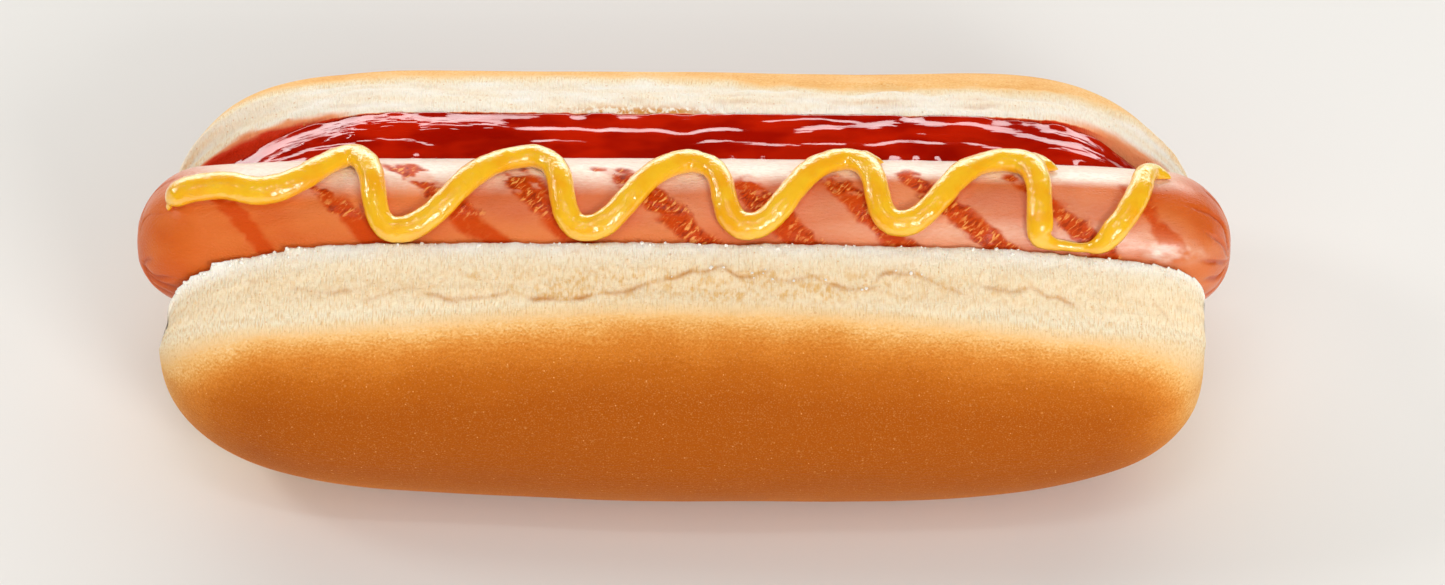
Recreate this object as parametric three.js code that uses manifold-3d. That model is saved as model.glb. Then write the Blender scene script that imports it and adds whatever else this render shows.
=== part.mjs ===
// Hot dog: a soft bun split from the top, a grilled sausage lying in the split, a wedge of ketchup
// pushed in behind the sausage and a squiggle of mustard along the top.
//
// Millimetres. X runs along the bun, Y from the front lobe to the back lobe and Z up. The origin is on
// the resting plane, under the middle of the overall box.
//
// Every piece is a closed surface over two parameters: once round its section, and once along X.

import * as THREE from 'three';
import { ParametricGeometry } from 'three/addons/geometries/ParametricGeometry.js';
import { mergeVertices } from 'three/addons/utils/BufferGeometryUtils.js';
import Module from 'manifold-3d';

// ---------------------------------------------------------------- driving dimensions

// Clearance between pieces that touch.
const GAP = 0.3;

// Each lobe of the bun has a round belly. Lobe positions are Y, rims are the two edges of the split.
const BUN = {
  front: { lobeY: -14.9, belly: 19.6 },
  rear: { lobeY: 15.3, belly: 20.5 },
  // Where the pale band leaves the round belly, measured from straight up.
  bandAngle: THREE.MathUtils.degToRad(24),
  frontRim: { y: -12.8, z: 41.4, slope: -0.016, dip: 0.6, dipX: 58, dipWidth: 10 },
  rearRim: { y: 13.4, z: 42.0, slope: -0.01 },
  // Towards both ends the rear rim sinks, and takes the section past this share along.
  rearSink: { share: 0.86, left: { depth: 5, from: 36, to: 70 }, right: { depth: 4.5, from: 50, to: 71 } },
  // Handles of the curves that round the two rims into the pale band.
  rimHandle: { y: 2.3, z: 1.1 },
  bandHandle: { y: 4.2, z: 1.9 },
  // Where the front and the rear of the sausage's bed end, as angles round the sausage from the rear.
  bedFront: THREE.MathUtils.degToRad(173),
  bedRear: THREE.MathUtils.degToRad(326),
  // Handles of the curve from the front rim over the lip down into the bed.
  lipHandle: { y: 0.4, z: 1.6 },
  bedHandle: { y: 0.2, z: 2.4 },
  // Heights over which the crust, and inside the split the lip, take up the lift of their rim.
  crustLift: { from: 20, to: 40 },
  lipLift: { from: 35, to: 41 },
  // The bun is fullest a little to the right of its middle.
  fullestX: 4,
  // The front belly has a slight waist, which fades in and out over these shares of the section.
  waist: { x: -34, width: 20, depth: 0.045, fadeIn: [0.1, 0.25], fadeOut: [0.3, 0.6] },
  // The baked bun has settled on its tray, so what would be lower than this is flat.
  settle: { depth: 1.6, height: 8 },
};

// How the two lobes round off at each end: the tip, and the two powers of the rounding curve.
// The shape changes from the front lobe to the rear one over these shares of the section.
const BUN_ENDS = {
  across: [0.25, 0.75],
  front: {
    left: { tip: -75.3, fullness: 4, power: 0.4 },
    right: { tip: 74.7, fullness: 4.2, power: 0.33 },
  },
  rear: {
    left: { tip: -75.2, fullness: 8, power: 0.62 },
    right: { tip: 74.8, fullness: 6.8, power: 0.72 },
  },
};

// The bun closes on a U-shaped edge at both ends. These are points of that U, from front to rear.
const END_EDGE = [[-15, 30], [-15.6, 22.5], [-9.5, 17], [0.5, 16], [8.5, 17.5], [13.2, 22.5], [11.6, 28.8]];

// The front rim ends lower on the left than on the right.
const END_RIM = { slope: 0.025, share: 0.25 };

// The crumb of the band stands proud of the crust and ends in a fold, a wavy line below the rim.
const FOLD = {
  fromRim: 8.2,
  rise: 3.8,
  riseX: 5,
  riseWidth: 11,
  waver: { size: 0.5, long: 19, short: 7 },
  proud: { height: 0.35, ramp: 2 },
  sunk: { depth: 0.3, width: 3 },
};

const SAUSAGE = {
  radius: 9.9,
  halfLength: 79.2,
  capLength: 9.6,
  centreY: -3.1,
  centreZ: 35.05,
  // The right end lies a little lower, and both ends droop past the bun.
  slope: -0.0085,
  droop: 2.85,
  droopFrom: 75,
  // The casing is gathered into creases round a small dimple at each tip.
  dimple: { depth: 1.1, from: 0.96 },
  creases: { count: 9, depth: 0.3, turn: 0.6, power: 4 },
  tipShift: { size: 0.5, power: 3 },
};

const KETCHUP = {
  left: -68.5,
  right: 67.5,
  // On the sausage it covers these angles above the horizontal, and its top falls towards both ends.
  skin: {
    low: THREE.MathUtils.degToRad(1),
    top: THREE.MathUtils.degToRad(43),
    endDrop: THREE.MathUtils.degToRad(16),
  },
  // On the bun's rear wall it covers these shares.
  wall: { low: 0.42, top: 0.97, endDrop: 0.13 },
  // The top swells, with ridges that run along it and wander across.
  puff: 0.7,
  ridge: { height: 0.55, count: 1.9, wander: [{ size: 0.9, length: 13 }, { size: 0.5, length: 5.3 }] },
  // Both ends close on a point this far below the top, over the last of the length.
  heartDepth: 1.2,
  ending: { reach: 8, fullness: 1.25, power: 0.5 },
};

const MUSTARD = { width: 3.8, height: 3.1, step: 1.5, sides: 8, endRadius: 2.2 };

// Round the sausage, an angle is measured from straight ahead (0) over the top (90) to the rear (180).
// Each turn of the squiggle is a crest followed by a trough: [crest x, angle, trough x, angle].
const SQUIGGLE_TURNS = [
  [-48.0, 107, -40.8, 43],
  [-21.4, 108, -13.9, 44],
  [1.5, 102, 9.3, 46],
  [23.5, 107, 30.8, 49],
];

// Shares of the way from a crest down to its trough, and from there up to the next crest.
const DOWN_STROKE = [[0, 0], [0.31, 0.13], [0.47, 0.36], [0.54, 0.61], [0.63, 0.84], [0.8, 0.975]];
const UP_STROKE = [[0, 0], [0.13, 0.04], [0.28, 0.2], [0.42, 0.43], [0.57, 0.68], [0.73, 0.87], [0.87, 0.97]];

// The two ends of the squiggle: [x, angle, share of the full bead size].
const SQUIGGLE_START = [
  [-73.4, 66, 0.4], [-72.6, 71, 0.75], [-70.4, 76, 0.95], [-65.5, 77, 1], [-59.8, 72, 1], [-54.5, 84, 1],
];
const SQUIGGLE_END = [
  [46.0, 109, 1.05], [49.0, 103, 1.05], [50.4, 86, 1], [50.6, 66, 1], [50.6, 50, 1], [50.8, 41, 0.85],
  [53.0, 36, 0.5], [57.0, 34.5, 0.42], [59.2, 38, 0.75], [60.9, 47, 0.95], [62.8, 60, 0.95],
  [64.7, 79, 0.95], [66.0, 101, 0.9], [67.6, 108, 0.7], [69.8, 105, 0.3],
];

// Short tails where the bead was drawn sideways off a crest.
const TAILS = [
  [[24.0, 108, 0.8], [26.2, 112, 0.7], [28.6, 114, 0.3]],
  [[48.2, 108, 0.95], [50.8, 109, 0.8], [53.6, 108, 0.35]],
];

// How finely each surface is split: round its section, and along X.
const MESH = {
  bandRings: [0, 0.32, 0.68],
  foldHalf: 0.55,
  foldBelow: 2.3,
  bodyRings: 19,
  bunStations: 42,
  sausageRound: 36,
  sausageBody: 20,
  sausageCap: 7,
  ketchupSide: 3,
  ketchupTop: 7,
  ketchupStations: 52,
  pathSamples: 900,
  leastSteps: 6,
};

// Vertices nearer than this are one vertex, and slopes are taken over the second length.
const WELD_WITHIN = 1e-4;
const SLOPE_STEP = 0.01;

// ---------------------------------------------------------------- helpers

const { clamp, lerp, smoothstep } = THREE.MathUtils;

// One smooth bump of height 1, centred on a place.
const bump = (x, centre, width) => Math.exp(-(((x - centre) / width) ** 2));

// A smooth curve through points.
const spline = (points) => new THREE.CatmullRomCurve3(points, false, 'catmullrom', 0.5);

// Merge a surface's seams and poles into shared vertices and drop the triangles that vanish there.
function weld(geometry) {
  geometry.deleteAttribute('normal');
  geometry.deleteAttribute('uv');
  const merged = mergeVertices(geometry, WELD_WITHIN);
  const kept = [];
  const index = merged.index.array;
  for (let i = 0; i < index.length; i += 3) {
    const [a, b, c] = [index[i], index[i + 1], index[i + 2]];
    if (a !== b && b !== c && c !== a) {
      kept.push(a, b, c);
    }
  }
  merged.setIndex(kept);
  return merged;
}

// A closed surface from a function of (round, along), both in whole steps.
function closedSurface(rounds, stations, place) {
  const surface = (u, v, target) => {
    const round = Math.round(u * rounds) % rounds;
    place(round, Math.round(v * stations), target);
  };
  return weld(new ParametricGeometry(surface, rounds, stations));
}

// ---------------------------------------------------------------- sausage

// Height of the sausage's axis at a place along X.
function axisZ(x) {
  return SAUSAGE.centreZ + SAUSAGE.slope * x - SAUSAGE.droop * (x / SAUSAGE.droopFrom) ** 4;
}

// How far into a cap a place is: 0 on the body, 1 at the tip.
function capShare(x) {
  return Math.max(0, (Math.abs(x) - SAUSAGE.halfLength) / SAUSAGE.capLength + 1);
}

function sausageRadius(x) {
  return SAUSAGE.radius * Math.sqrt(Math.max(0, 1 - capShare(x) ** 2));
}

// Stations along the sausage, close together on the round caps.
function sausageStations() {
  const bodyHalf = SAUSAGE.halfLength - SAUSAGE.capLength;
  const cap = [];
  for (let i = 0; i <= MESH.sausageCap; i += 1) {
    cap.push(bodyHalf + SAUSAGE.capLength * Math.sin((i / MESH.sausageCap) * (Math.PI / 2)));
  }
  const body = [];
  for (let i = 1; i < MESH.sausageBody; i += 1) {
    body.push(lerp(-bodyHalf, bodyHalf, i / MESH.sausageBody));
  }
  return [...cap.map((x) => -x).reverse(), ...body, ...cap];
}

function sausageGeometry() {
  const { creases, dimple, tipShift } = SAUSAGE;
  const stations = sausageStations();
  return closedSurface(MESH.sausageRound, stations.length - 1, (round, along, target) => {
    const x = stations[along];
    const angle = (-round / MESH.sausageRound) * 2 * Math.PI;
    const cap = capShare(x);
    // Creases fade out from the tip, and the skin dips into the dimple there.
    const fold = Math.cos(creases.count * angle + creases.turn * Math.sign(x));
    const radius = sausageRadius(x) * (1 - (creases.depth / SAUSAGE.radius) * cap ** creases.power * fold);
    const dip = dimple.depth * smoothstep(cap, dimple.from, 1);
    const shift = tipShift.size * cap ** tipShift.power;
    target.set(
      x - Math.sign(x) * dip,
      SAUSAGE.centreY - shift + radius * Math.sin(angle),
      axisZ(x) - shift + radius * Math.cos(angle),
    );
  });
}

// ---------------------------------------------------------------- bun

// Crust outline of the bun's middle section, from the front rim under the bun to the rear rim.
function crustOutline() {
  const { front, rear, bandAngle, frontRim, rearRim, rimHandle, bandHandle } = BUN;
  const up = Math.PI / 2;
  const [aside, above] = [Math.sin(bandAngle), 1 + Math.cos(bandAngle)];
  const frontTop = [front.lobeY - front.belly * aside, front.belly * above];
  const rearTop = [rear.lobeY + rear.belly * aside, rear.belly * above];
  const path = new THREE.Path();
  path.moveTo(frontRim.y, frontRim.z);
  path.bezierCurveTo(
    frontRim.y - rimHandle.y, frontRim.z + rimHandle.z,
    frontTop[0] + bandHandle.y, frontTop[1] + bandHandle.z,
    ...frontTop,
  );
  path.absarc(front.lobeY, front.belly, front.belly, up + bandAngle, 3 * up, false);
  path.lineTo(rear.lobeY, 0);
  path.absarc(rear.lobeY, rear.belly, rear.belly, -up, up - bandAngle, false);
  path.bezierCurveTo(
    rearTop[0] - bandHandle.y, rearTop[1] + bandHandle.z,
    rearRim.y + rimHandle.y, rearRim.z + rimHandle.z,
    rearRim.y, rearRim.z,
  );
  return path;
}

// The split, from the front rim down round the sausage's bed and up the rear wall to the rear rim.
function splitOutline() {
  const { frontRim, rearRim, bedFront, bedRear, lipHandle, bedHandle } = BUN;
  const radius = SAUSAGE.radius + GAP;
  const { centreY, centreZ } = SAUSAGE;
  const bedStart = [centreY + radius * Math.cos(bedFront), centreZ + radius * Math.sin(bedFront)];
  const path = new THREE.Path();
  path.moveTo(frontRim.y, frontRim.z);
  path.bezierCurveTo(
    frontRim.y + lipHandle.y, frontRim.z - lipHandle.z,
    bedStart[0] - bedHandle.y, bedStart[1] + bedHandle.z,
    ...bedStart,
  );
  path.absarc(centreY, centreZ, radius, bedFront, bedRear, false);
  path.lineTo(rearRim.y, rearRim.z);
  return path;
}

const crust = crustOutline();
const split = splitOutline();
const endEdge = spline(END_EDGE.map(([y, z]) => new THREE.Vector3(y, z, 0)));

// Length from the rim down the band to the fold.
function foldFromRim(x) {
  const { size, long, short } = FOLD.waver;
  const waver = size * Math.sin(x / short) * Math.cos(x / long);
  return FOLD.fromRim - FOLD.rise * bump(x, FOLD.riseX, FOLD.riseWidth) + waver;
}

// Rings of the crust, as lengths along it: down the front band over its fold, round the body and
// up the rear band.
function crustRings(x) {
  const fold = foldFromRim(x);
  const total = crust.getLength();
  const band = [...MESH.bandRings.map((share) => share * fold), fold - MESH.foldHalf, fold + MESH.foldHalf];
  const start = fold + MESH.foldBelow;
  const body = [];
  for (let i = 0; i <= MESH.bodyRings; i += 1) {
    body.push(lerp(start, total - start, i / MESH.bodyRings));
  }
  return [...band, ...body, ...band.map((length) => total - length).reverse()];
}

const RINGS = 2 * (MESH.bandRings.length + 2) + MESH.bodyRings;

// The rims climb and fall along the bun. The front one dips where the mustard presses against it.
function rimLift(x, front) {
  const { slope, dip, dipX, dipWidth } = BUN.frontRim;
  return front ? slope * x - dip * bump(x, dipX, dipWidth) : BUN.rearRim.slope * x;
}

// How far the rear rim has sunk, at a place along X.
function rearSink(x) {
  const { left, right } = BUN.rearSink;
  return left.depth * smoothstep(-x, left.from, left.to) + right.depth * smoothstep(x, right.from, right.to);
}

// The rounding of one end, blended from the front lobe to the rear one by the share of the section.
function endShape(leftSide, share) {
  const side = leftSide ? 'left' : 'right';
  const front = BUN_ENDS.front[side];
  const rear = BUN_ENDS.rear[side];
  const across = smoothstep(share, ...BUN_ENDS.across);
  return {
    tip: lerp(front.tip, rear.tip, across),
    fullness: lerp(front.fullness, rear.fullness, across),
    power: lerp(front.power, rear.power, across),
  };
}

// A point of the full section drawn in towards the end edge, which crust and split share.
function towardsEnd(point, x, share) {
  const { tip, fullness, power } = endShape(x < BUN.fullestX, share);
  const reach = Math.min(1, (x - BUN.fullestX) / (tip - BUN.fullestX));
  const { waist } = BUN;
  const onBelly = smoothstep(share, ...waist.fadeIn) * (1 - smoothstep(share, ...waist.fadeOut));
  const full = 1 - waist.depth * bump(x, waist.x, waist.width) * onBelly;
  const edge = endEdge.getPoint(share);
  edge.y += END_RIM.slope * x * (1 - smoothstep(share, 0, END_RIM.share));
  const placed = edge.lerp(point, full * (1 - reach ** fullness) ** power);
  placed.y -= rearSink(x) * smoothstep(share, BUN.rearSink.share, 1);
  return placed;
}

// A point of the crust. The crumb stands proud above the fold, and the crust dips just below it.
function crustPoint(x, length, share) {
  const { proud, sunk } = FOLD;
  const { crustLift, settle } = BUN;
  const total = crust.getLength();
  const fromRim = Math.min(length, total - length);
  const below = fromRim - foldFromRim(x);
  const above = proud.height * smoothstep(fromRim, 0, proud.ramp);
  const relief = below < 0 ? above : -sunk.depth * bump(below, MESH.foldHalf, sunk.width);
  const { x: y, y: z } = crust.getPoint(length / total);
  const tangent = crust.getTangent(clamp(length / total, WELD_WITHIN, 1 - WELD_WITHIN));
  const point = new THREE.Vector3(y + tangent.y * relief, z - tangent.x * relief, 0);
  point.y += rimLift(x, length < total / 2) * smoothstep(point.y, crustLift.from, crustLift.to);
  const placed = towardsEnd(point, x, share);
  const settled = placed.y - settle.depth * (1 - smoothstep(placed.y, 0, settle.height));
  placed.y = Math.max(0, settled);
  return placed;
}

// A point of the split, by its share of the way from the front rim to the rear one.
// The bed follows the sausage's axis, and the rims keep their own line.
function splitPoint(x, share) {
  const { x: y, y: z } = split.getPoint(share);
  const nearRim = smoothstep(z, BUN.lipLift.from, BUN.lipLift.to);
  const lift = lerp(axisZ(x) - SAUSAGE.centreZ, rimLift(x, share < 0.5), nearRim);
  return towardsEnd(new THREE.Vector3(y, z + lift, 0), x, share);
}

// Place along X of a station for one ring: stations crowd towards the ends.
function bunX(along, share) {
  const swing = Math.sin(((along / MESH.bunStations) * 2 - 1) * (Math.PI / 2));
  const { tip } = endShape(swing < 0, share);
  return BUN.fullestX + Math.abs(swing) * (tip - BUN.fullestX);
}

function bunGeometry() {
  return closedSurface(2 * RINGS, MESH.bunStations, (round, along, target) => {
    const onCrust = round <= RINGS;
    const ring = onCrust ? round : 2 * RINGS - round;
    const share = ring / RINGS;
    const x = bunX(along, share);
    const point = onCrust ? crustPoint(x, crustRings(x)[ring], share) : splitPoint(x, share);
    target.set(x, point.x, point.y);
  });
}

// ---------------------------------------------------------------- ketchup

// Share of the split, from its start, at which the straight rear wall begins.
const wallStart = 1 - split.curves.at(-1).getLength() / split.getLength();

// A point on the ketchup's rear side, by its share of the rear wall's height.
function wallPoint(x, height) {
  const point = splitPoint(x, lerp(wallStart, 1, height));
  const above = splitPoint(x, lerp(wallStart, 1, height + SLOPE_STEP));
  const slope = above.sub(point).normalize();
  return new THREE.Vector3(point.x - slope.y * GAP, point.y + slope.x * GAP, 0);
}

// A point on the ketchup's sausage side, by its angle above the horizontal.
function sausagePoint(x, angle) {
  const radius = sausageRadius(x) + GAP;
  const y = SAUSAGE.centreY + radius * Math.cos(angle);
  return new THREE.Vector3(y, axisZ(x) + radius * Math.sin(angle), 0);
}

// Height of the ketchup's top over the straight line across it, by the share of the way across.
function ketchupTop(x, share) {
  const { puff, ridge } = KETCHUP;
  const [slow, quick] = ridge.wander;
  const wander = slow.size * Math.sin(x / slow.length) + quick.size * Math.sin(x / quick.length + 1);
  const wave = ridge.height * Math.sin(2 * Math.PI * ridge.count * share - wander);
  return (puff + wave) * Math.sin(Math.PI * share);
}

// The ketchup's section as a ring of points: up the bun's wall, across the top and down the sausage.
function ketchupRing(x, ends) {
  const { skin, wall, heartDepth, ending } = KETCHUP;
  const wallEdge = wall.top - wall.endDrop * ends;
  const skinEdge = skin.top - skin.endDrop * ends;
  const onWall = wallPoint(x, wallEdge);
  const onSkin = sausagePoint(x, skinEdge);
  const ring = [];
  for (let i = 0; i < MESH.ketchupSide; i += 1) {
    ring.push(wallPoint(x, lerp(wall.low, wallEdge, i / MESH.ketchupSide)));
  }
  for (let i = 0; i <= MESH.ketchupTop; i += 1) {
    const share = i / MESH.ketchupTop;
    const point = onWall.clone().lerp(onSkin, share);
    point.y += ketchupTop(x, share) * (1 - ends);
    ring.push(point);
  }
  for (let i = MESH.ketchupSide - 1; i >= 0; i -= 1) {
    ring.push(sausagePoint(x, lerp(skin.low, skinEdge, i / MESH.ketchupSide)));
  }
  const heart = onWall.lerp(onSkin, 0.5);
  heart.y -= heartDepth;
  const size = (1 - ends ** ending.fullness) ** ending.power;
  return ring.map((point) => heart.clone().lerp(point, size));
}

function ketchupGeometry() {
  const { left, right, ending } = KETCHUP;
  const places = [];
  for (let along = 0; along <= MESH.ketchupStations; along += 1) {
    const swing = Math.sin(((along / MESH.ketchupStations) * 2 - 1) * (Math.PI / 2));
    const x = lerp(left, right, (1 + swing) / 2);
    places.push({ x, ring: ketchupRing(x, swing ** ending.reach) });
  }
  return closedSurface(places[0].ring.length, MESH.ketchupStations, (round, along, target) => {
    const { x, ring } = places[along];
    target.set(x, ring[round].x, ring[round].y);
  });
}

// ---------------------------------------------------------------- mustard

// Every control point of the squiggle, as [x, angle, size].
function squigglePoints() {
  const points = [...SQUIGGLE_START];
  SQUIGGLE_TURNS.forEach(([crestX, crest, troughX, trough], turn) => {
    const [nextX, next] = SQUIGGLE_TURNS[turn + 1] ?? SQUIGGLE_END[0];
    for (const [along, down] of DOWN_STROKE) {
      points.push([lerp(crestX, troughX, along), lerp(crest, trough, down), 1]);
    }
    for (const [along, up] of UP_STROKE) {
      points.push([lerp(troughX, nextX, along), lerp(trough, next, up), 1]);
    }
  });
  return [...points, ...SQUIGGLE_END];
}

// Where a bead point lies: its foot on the sausage, the way out from the skin, and its size.
function beadFoot([x, degrees, size]) {
  const angle = THREE.MathUtils.degToRad(degrees);
  const radius = sausageRadius(x);
  const flare = (sausageRadius(x + SLOPE_STEP) - radius) / SLOPE_STEP;
  const y = SAUSAGE.centreY - radius * Math.cos(angle);
  const z = axisZ(x) + radius * Math.sin(angle);
  const out = new THREE.Vector3(-flare, -Math.cos(angle), Math.sin(angle)).normalize();
  return { foot: new THREE.Vector3(x, y, z).addScaledVector(out, GAP), out, size };
}

// Feet along a bead at even steps of its real length.
function beadFeet(points) {
  const curve = spline(points.map((point) => new THREE.Vector3(...point)));
  const fine = curve.getPoints(MESH.pathSamples).map((point) => beadFoot(point.toArray()));
  const lengths = [0];
  let run = 0;
  for (let i = 1; i < fine.length; i += 1) {
    run += fine[i].foot.distanceTo(fine[i - 1].foot);
    lengths.push(run);
  }
  const steps = Math.max(MESH.leastSteps, Math.round(run / MUSTARD.step));
  const feet = [fine[0]];
  let at = 0;
  for (let i = 1; i <= steps; i += 1) {
    while (at < fine.length - 1 && lengths[at] < (run * i) / steps) {
      at += 1;
    }
    feet.push(fine[at]);
  }
  return { feet, step: run / steps };
}

// A bead with a flat underside and rounded ends, lying on the sausage.
function beadGeometry(points) {
  const { feet, step } = beadFeet(points);
  const last = feet.length - 1;
  return closedSurface(MUSTARD.sides, last, (round, along, target) => {
    const { foot, out, size } = feet[along];
    const next = feet[Math.min(last, along + 1)].foot;
    const previous = feet[Math.max(0, along - 1)].foot;
    const ahead = next.clone().sub(previous).normalize();
    const across = new THREE.Vector3().crossVectors(ahead, out).normalize();
    const up = new THREE.Vector3().crossVectors(across, ahead);
    const toEnd = Math.min(along, last - along) * step;
    const inset = Math.max(0, 1 - toEnd / MUSTARD.endRadius);
    const ending = Math.sqrt(1 - inset ** 2);
    const turn = (-(round + 0.5) / MUSTARD.sides) * 2 * Math.PI;
    target.copy(foot);
    target.addScaledVector(across, 0.5 * MUSTARD.width * size * ending * Math.cos(turn));
    target.addScaledVector(up, 0.5 * MUSTARD.height * size * (1 + ending * Math.sin(turn)));
  });
}

const wasm = await Module();
wasm.setup();

// A welded geometry as a solid that can be joined.
function toSolid(geometry) {
  const vertProperties = Float32Array.from(geometry.attributes.position.array);
  const triVerts = Uint32Array.from(geometry.index.array);
  return new wasm.Manifold(new wasm.Mesh({ numProp: 3, vertProperties, triVerts }));
}

function toGeometry(solid) {
  const mesh = solid.getMesh();
  const geometry = new THREE.BufferGeometry();
  geometry.setAttribute('position', new THREE.BufferAttribute(Float32Array.from(mesh.vertProperties), 3));
  geometry.setIndex(Array.from(mesh.triVerts));
  return geometry;
}

function mustardGeometry() {
  let solid = toSolid(beadGeometry(squigglePoints()));
  for (const tail of TAILS) {
    solid = solid.add(toSolid(beadGeometry(tail)));
  }
  return toGeometry(solid);
}

// ---------------------------------------------------------------- assembly

function namedMesh(name, geometry, colour, roughness) {
  const material = new THREE.MeshStandardMaterial({ color: colour, roughness, metalness: 0 });
  geometry.computeVertexNormals();
  const mesh = new THREE.Mesh(geometry, material);
  mesh.name = name;
  return mesh;
}

const hotDog = new THREE.Group();
hotDog.add(
  namedMesh('bun', bunGeometry(), 0xc8762c, 0.75),
  namedMesh('sausage', sausageGeometry(), 0xd5672e, 0.35),
  namedMesh('ketchup', ketchupGeometry(), 0xae1402, 0.15),
  namedMesh('mustard', mustardGeometry(), 0xf3c33a, 0.3),
);

export default hotDog;
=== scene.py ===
"""Looks of a hot dog: a split bun, a grilled sausage, ketchup and mustard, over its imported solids.

Sizes are in millimetres and angles in degrees, in the frame of the solids: X runs along the bun, Y from
the front lobe to the rear one, Z up. Round the sausage an angle is measured from straight ahead (0)
over the top (90) to the rear (180).
"""

from __future__ import annotations

import logging
from dataclasses import dataclass, field
from enum import Enum
from itertools import product
from math import cos, exp, pi, radians, sin
from typing import Sequence

import bpy
import numpy as np
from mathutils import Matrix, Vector


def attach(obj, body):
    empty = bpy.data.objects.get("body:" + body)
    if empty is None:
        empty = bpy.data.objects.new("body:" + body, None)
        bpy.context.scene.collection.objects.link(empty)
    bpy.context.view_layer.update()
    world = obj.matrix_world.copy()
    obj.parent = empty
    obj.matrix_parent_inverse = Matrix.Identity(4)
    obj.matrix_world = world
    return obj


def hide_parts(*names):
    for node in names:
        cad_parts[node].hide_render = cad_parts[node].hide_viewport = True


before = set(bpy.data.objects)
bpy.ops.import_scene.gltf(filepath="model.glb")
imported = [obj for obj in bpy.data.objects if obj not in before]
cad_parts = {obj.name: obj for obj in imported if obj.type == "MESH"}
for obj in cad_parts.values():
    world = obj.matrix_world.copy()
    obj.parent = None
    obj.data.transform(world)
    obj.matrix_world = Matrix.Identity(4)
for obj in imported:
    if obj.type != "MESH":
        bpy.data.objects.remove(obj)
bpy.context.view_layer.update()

LOG = logging.getLogger("hot_dog")

MM = 0.001
GAP = 0.3
LATTICE = 32
LAYER_SHIFT = 17.3

Array = np.ndarray
Amount = Array | float
Pairs = tuple[tuple[float, float], ...]
Triples = tuple[tuple[float, float, float], ...]
Piece = bpy.types.Object
Material = bpy.types.Material
Socket = bpy.types.NodeSocket


# ---------------- small maths


def lerp(low: Amount, high: Amount, share: Amount) -> Amount:
    """Value at a share of the way from low to high."""
    return low + (high - low) * share


def smoothstep(value: Amount, low: float, high: float) -> Amount:
    """Smooth rise from 0 at low to 1 at high."""
    share = np.clip((np.asarray(value, float) - low) / (high - low), 0.0, 1.0)
    return share * share * (3.0 - 2.0 * share)


def fall(value: Amount, low: float, high: float) -> Amount:
    """Smooth fall from 1 at low to 0 at high."""
    return 1.0 - smoothstep(value, low, high)


def bump(value: Amount, centre: Amount, width: Amount) -> Amount:
    """Smooth bump of height 1 round a centre."""
    return np.exp(-(((value - centre) / width) ** 2))


def catmull_rom(points: Array, places: Array) -> Array:
    """Points of a smooth curve through given points.

    Args:
        points: The points that the curve passes, one a row.
        places: Shares of the way along the curve, from 0 to 1, by point number.

    Returns:
        One point for each place.
    """
    first = 2.0 * points[0] - points[1]
    last = 2.0 * points[-1] - points[-2]
    padded = np.vstack([first, points, last])
    along = np.clip(places, 0.0, 1.0) * (len(points) - 1)
    start = np.minimum(along.astype(int), len(points) - 2)
    share = (along - start)[..., None]
    before, here, there, after = (padded[start + i] for i in range(4))
    slope_here = 0.5 * (there - before)
    slope_there = 0.5 * (after - here)
    square = share**2
    cube = share**3
    return (
        (2.0 * cube - 3.0 * square + 1.0) * here
        + (cube - 2.0 * square + share) * slope_here
        + (3.0 * square - 2.0 * cube) * there
        + (cube - square) * slope_there
    )


def run_lengths(points: Array) -> Array:
    """Length of a line of points from its start to each of them."""
    steps = np.linalg.norm(np.diff(points, axis=0), axis=1)
    return np.concatenate([[0.0], np.cumsum(steps)])


def along_line(points: Pairs, x: Array, before: float, within: float) -> tuple[Array, Array]:
    """A line given by points, read by X, and how strong it is there: 1 along it, fading round its two ends.

    Args:
        points: Points of the line, by rising X.
        x: Places along X.
        before: How far outside its ends the line fades to nothing.
        within: How far inside its ends it is at full strength.

    Returns:
        The line's value and its strength at each place.
    """
    line_x, line = np.array(points).T
    strength = smoothstep(x, line_x[0] - before, line_x[0] + within)
    strength = strength * fall(x, line_x[-1] - within, line_x[-1] + before)
    return np.interp(x, line_x, line), strength


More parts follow.
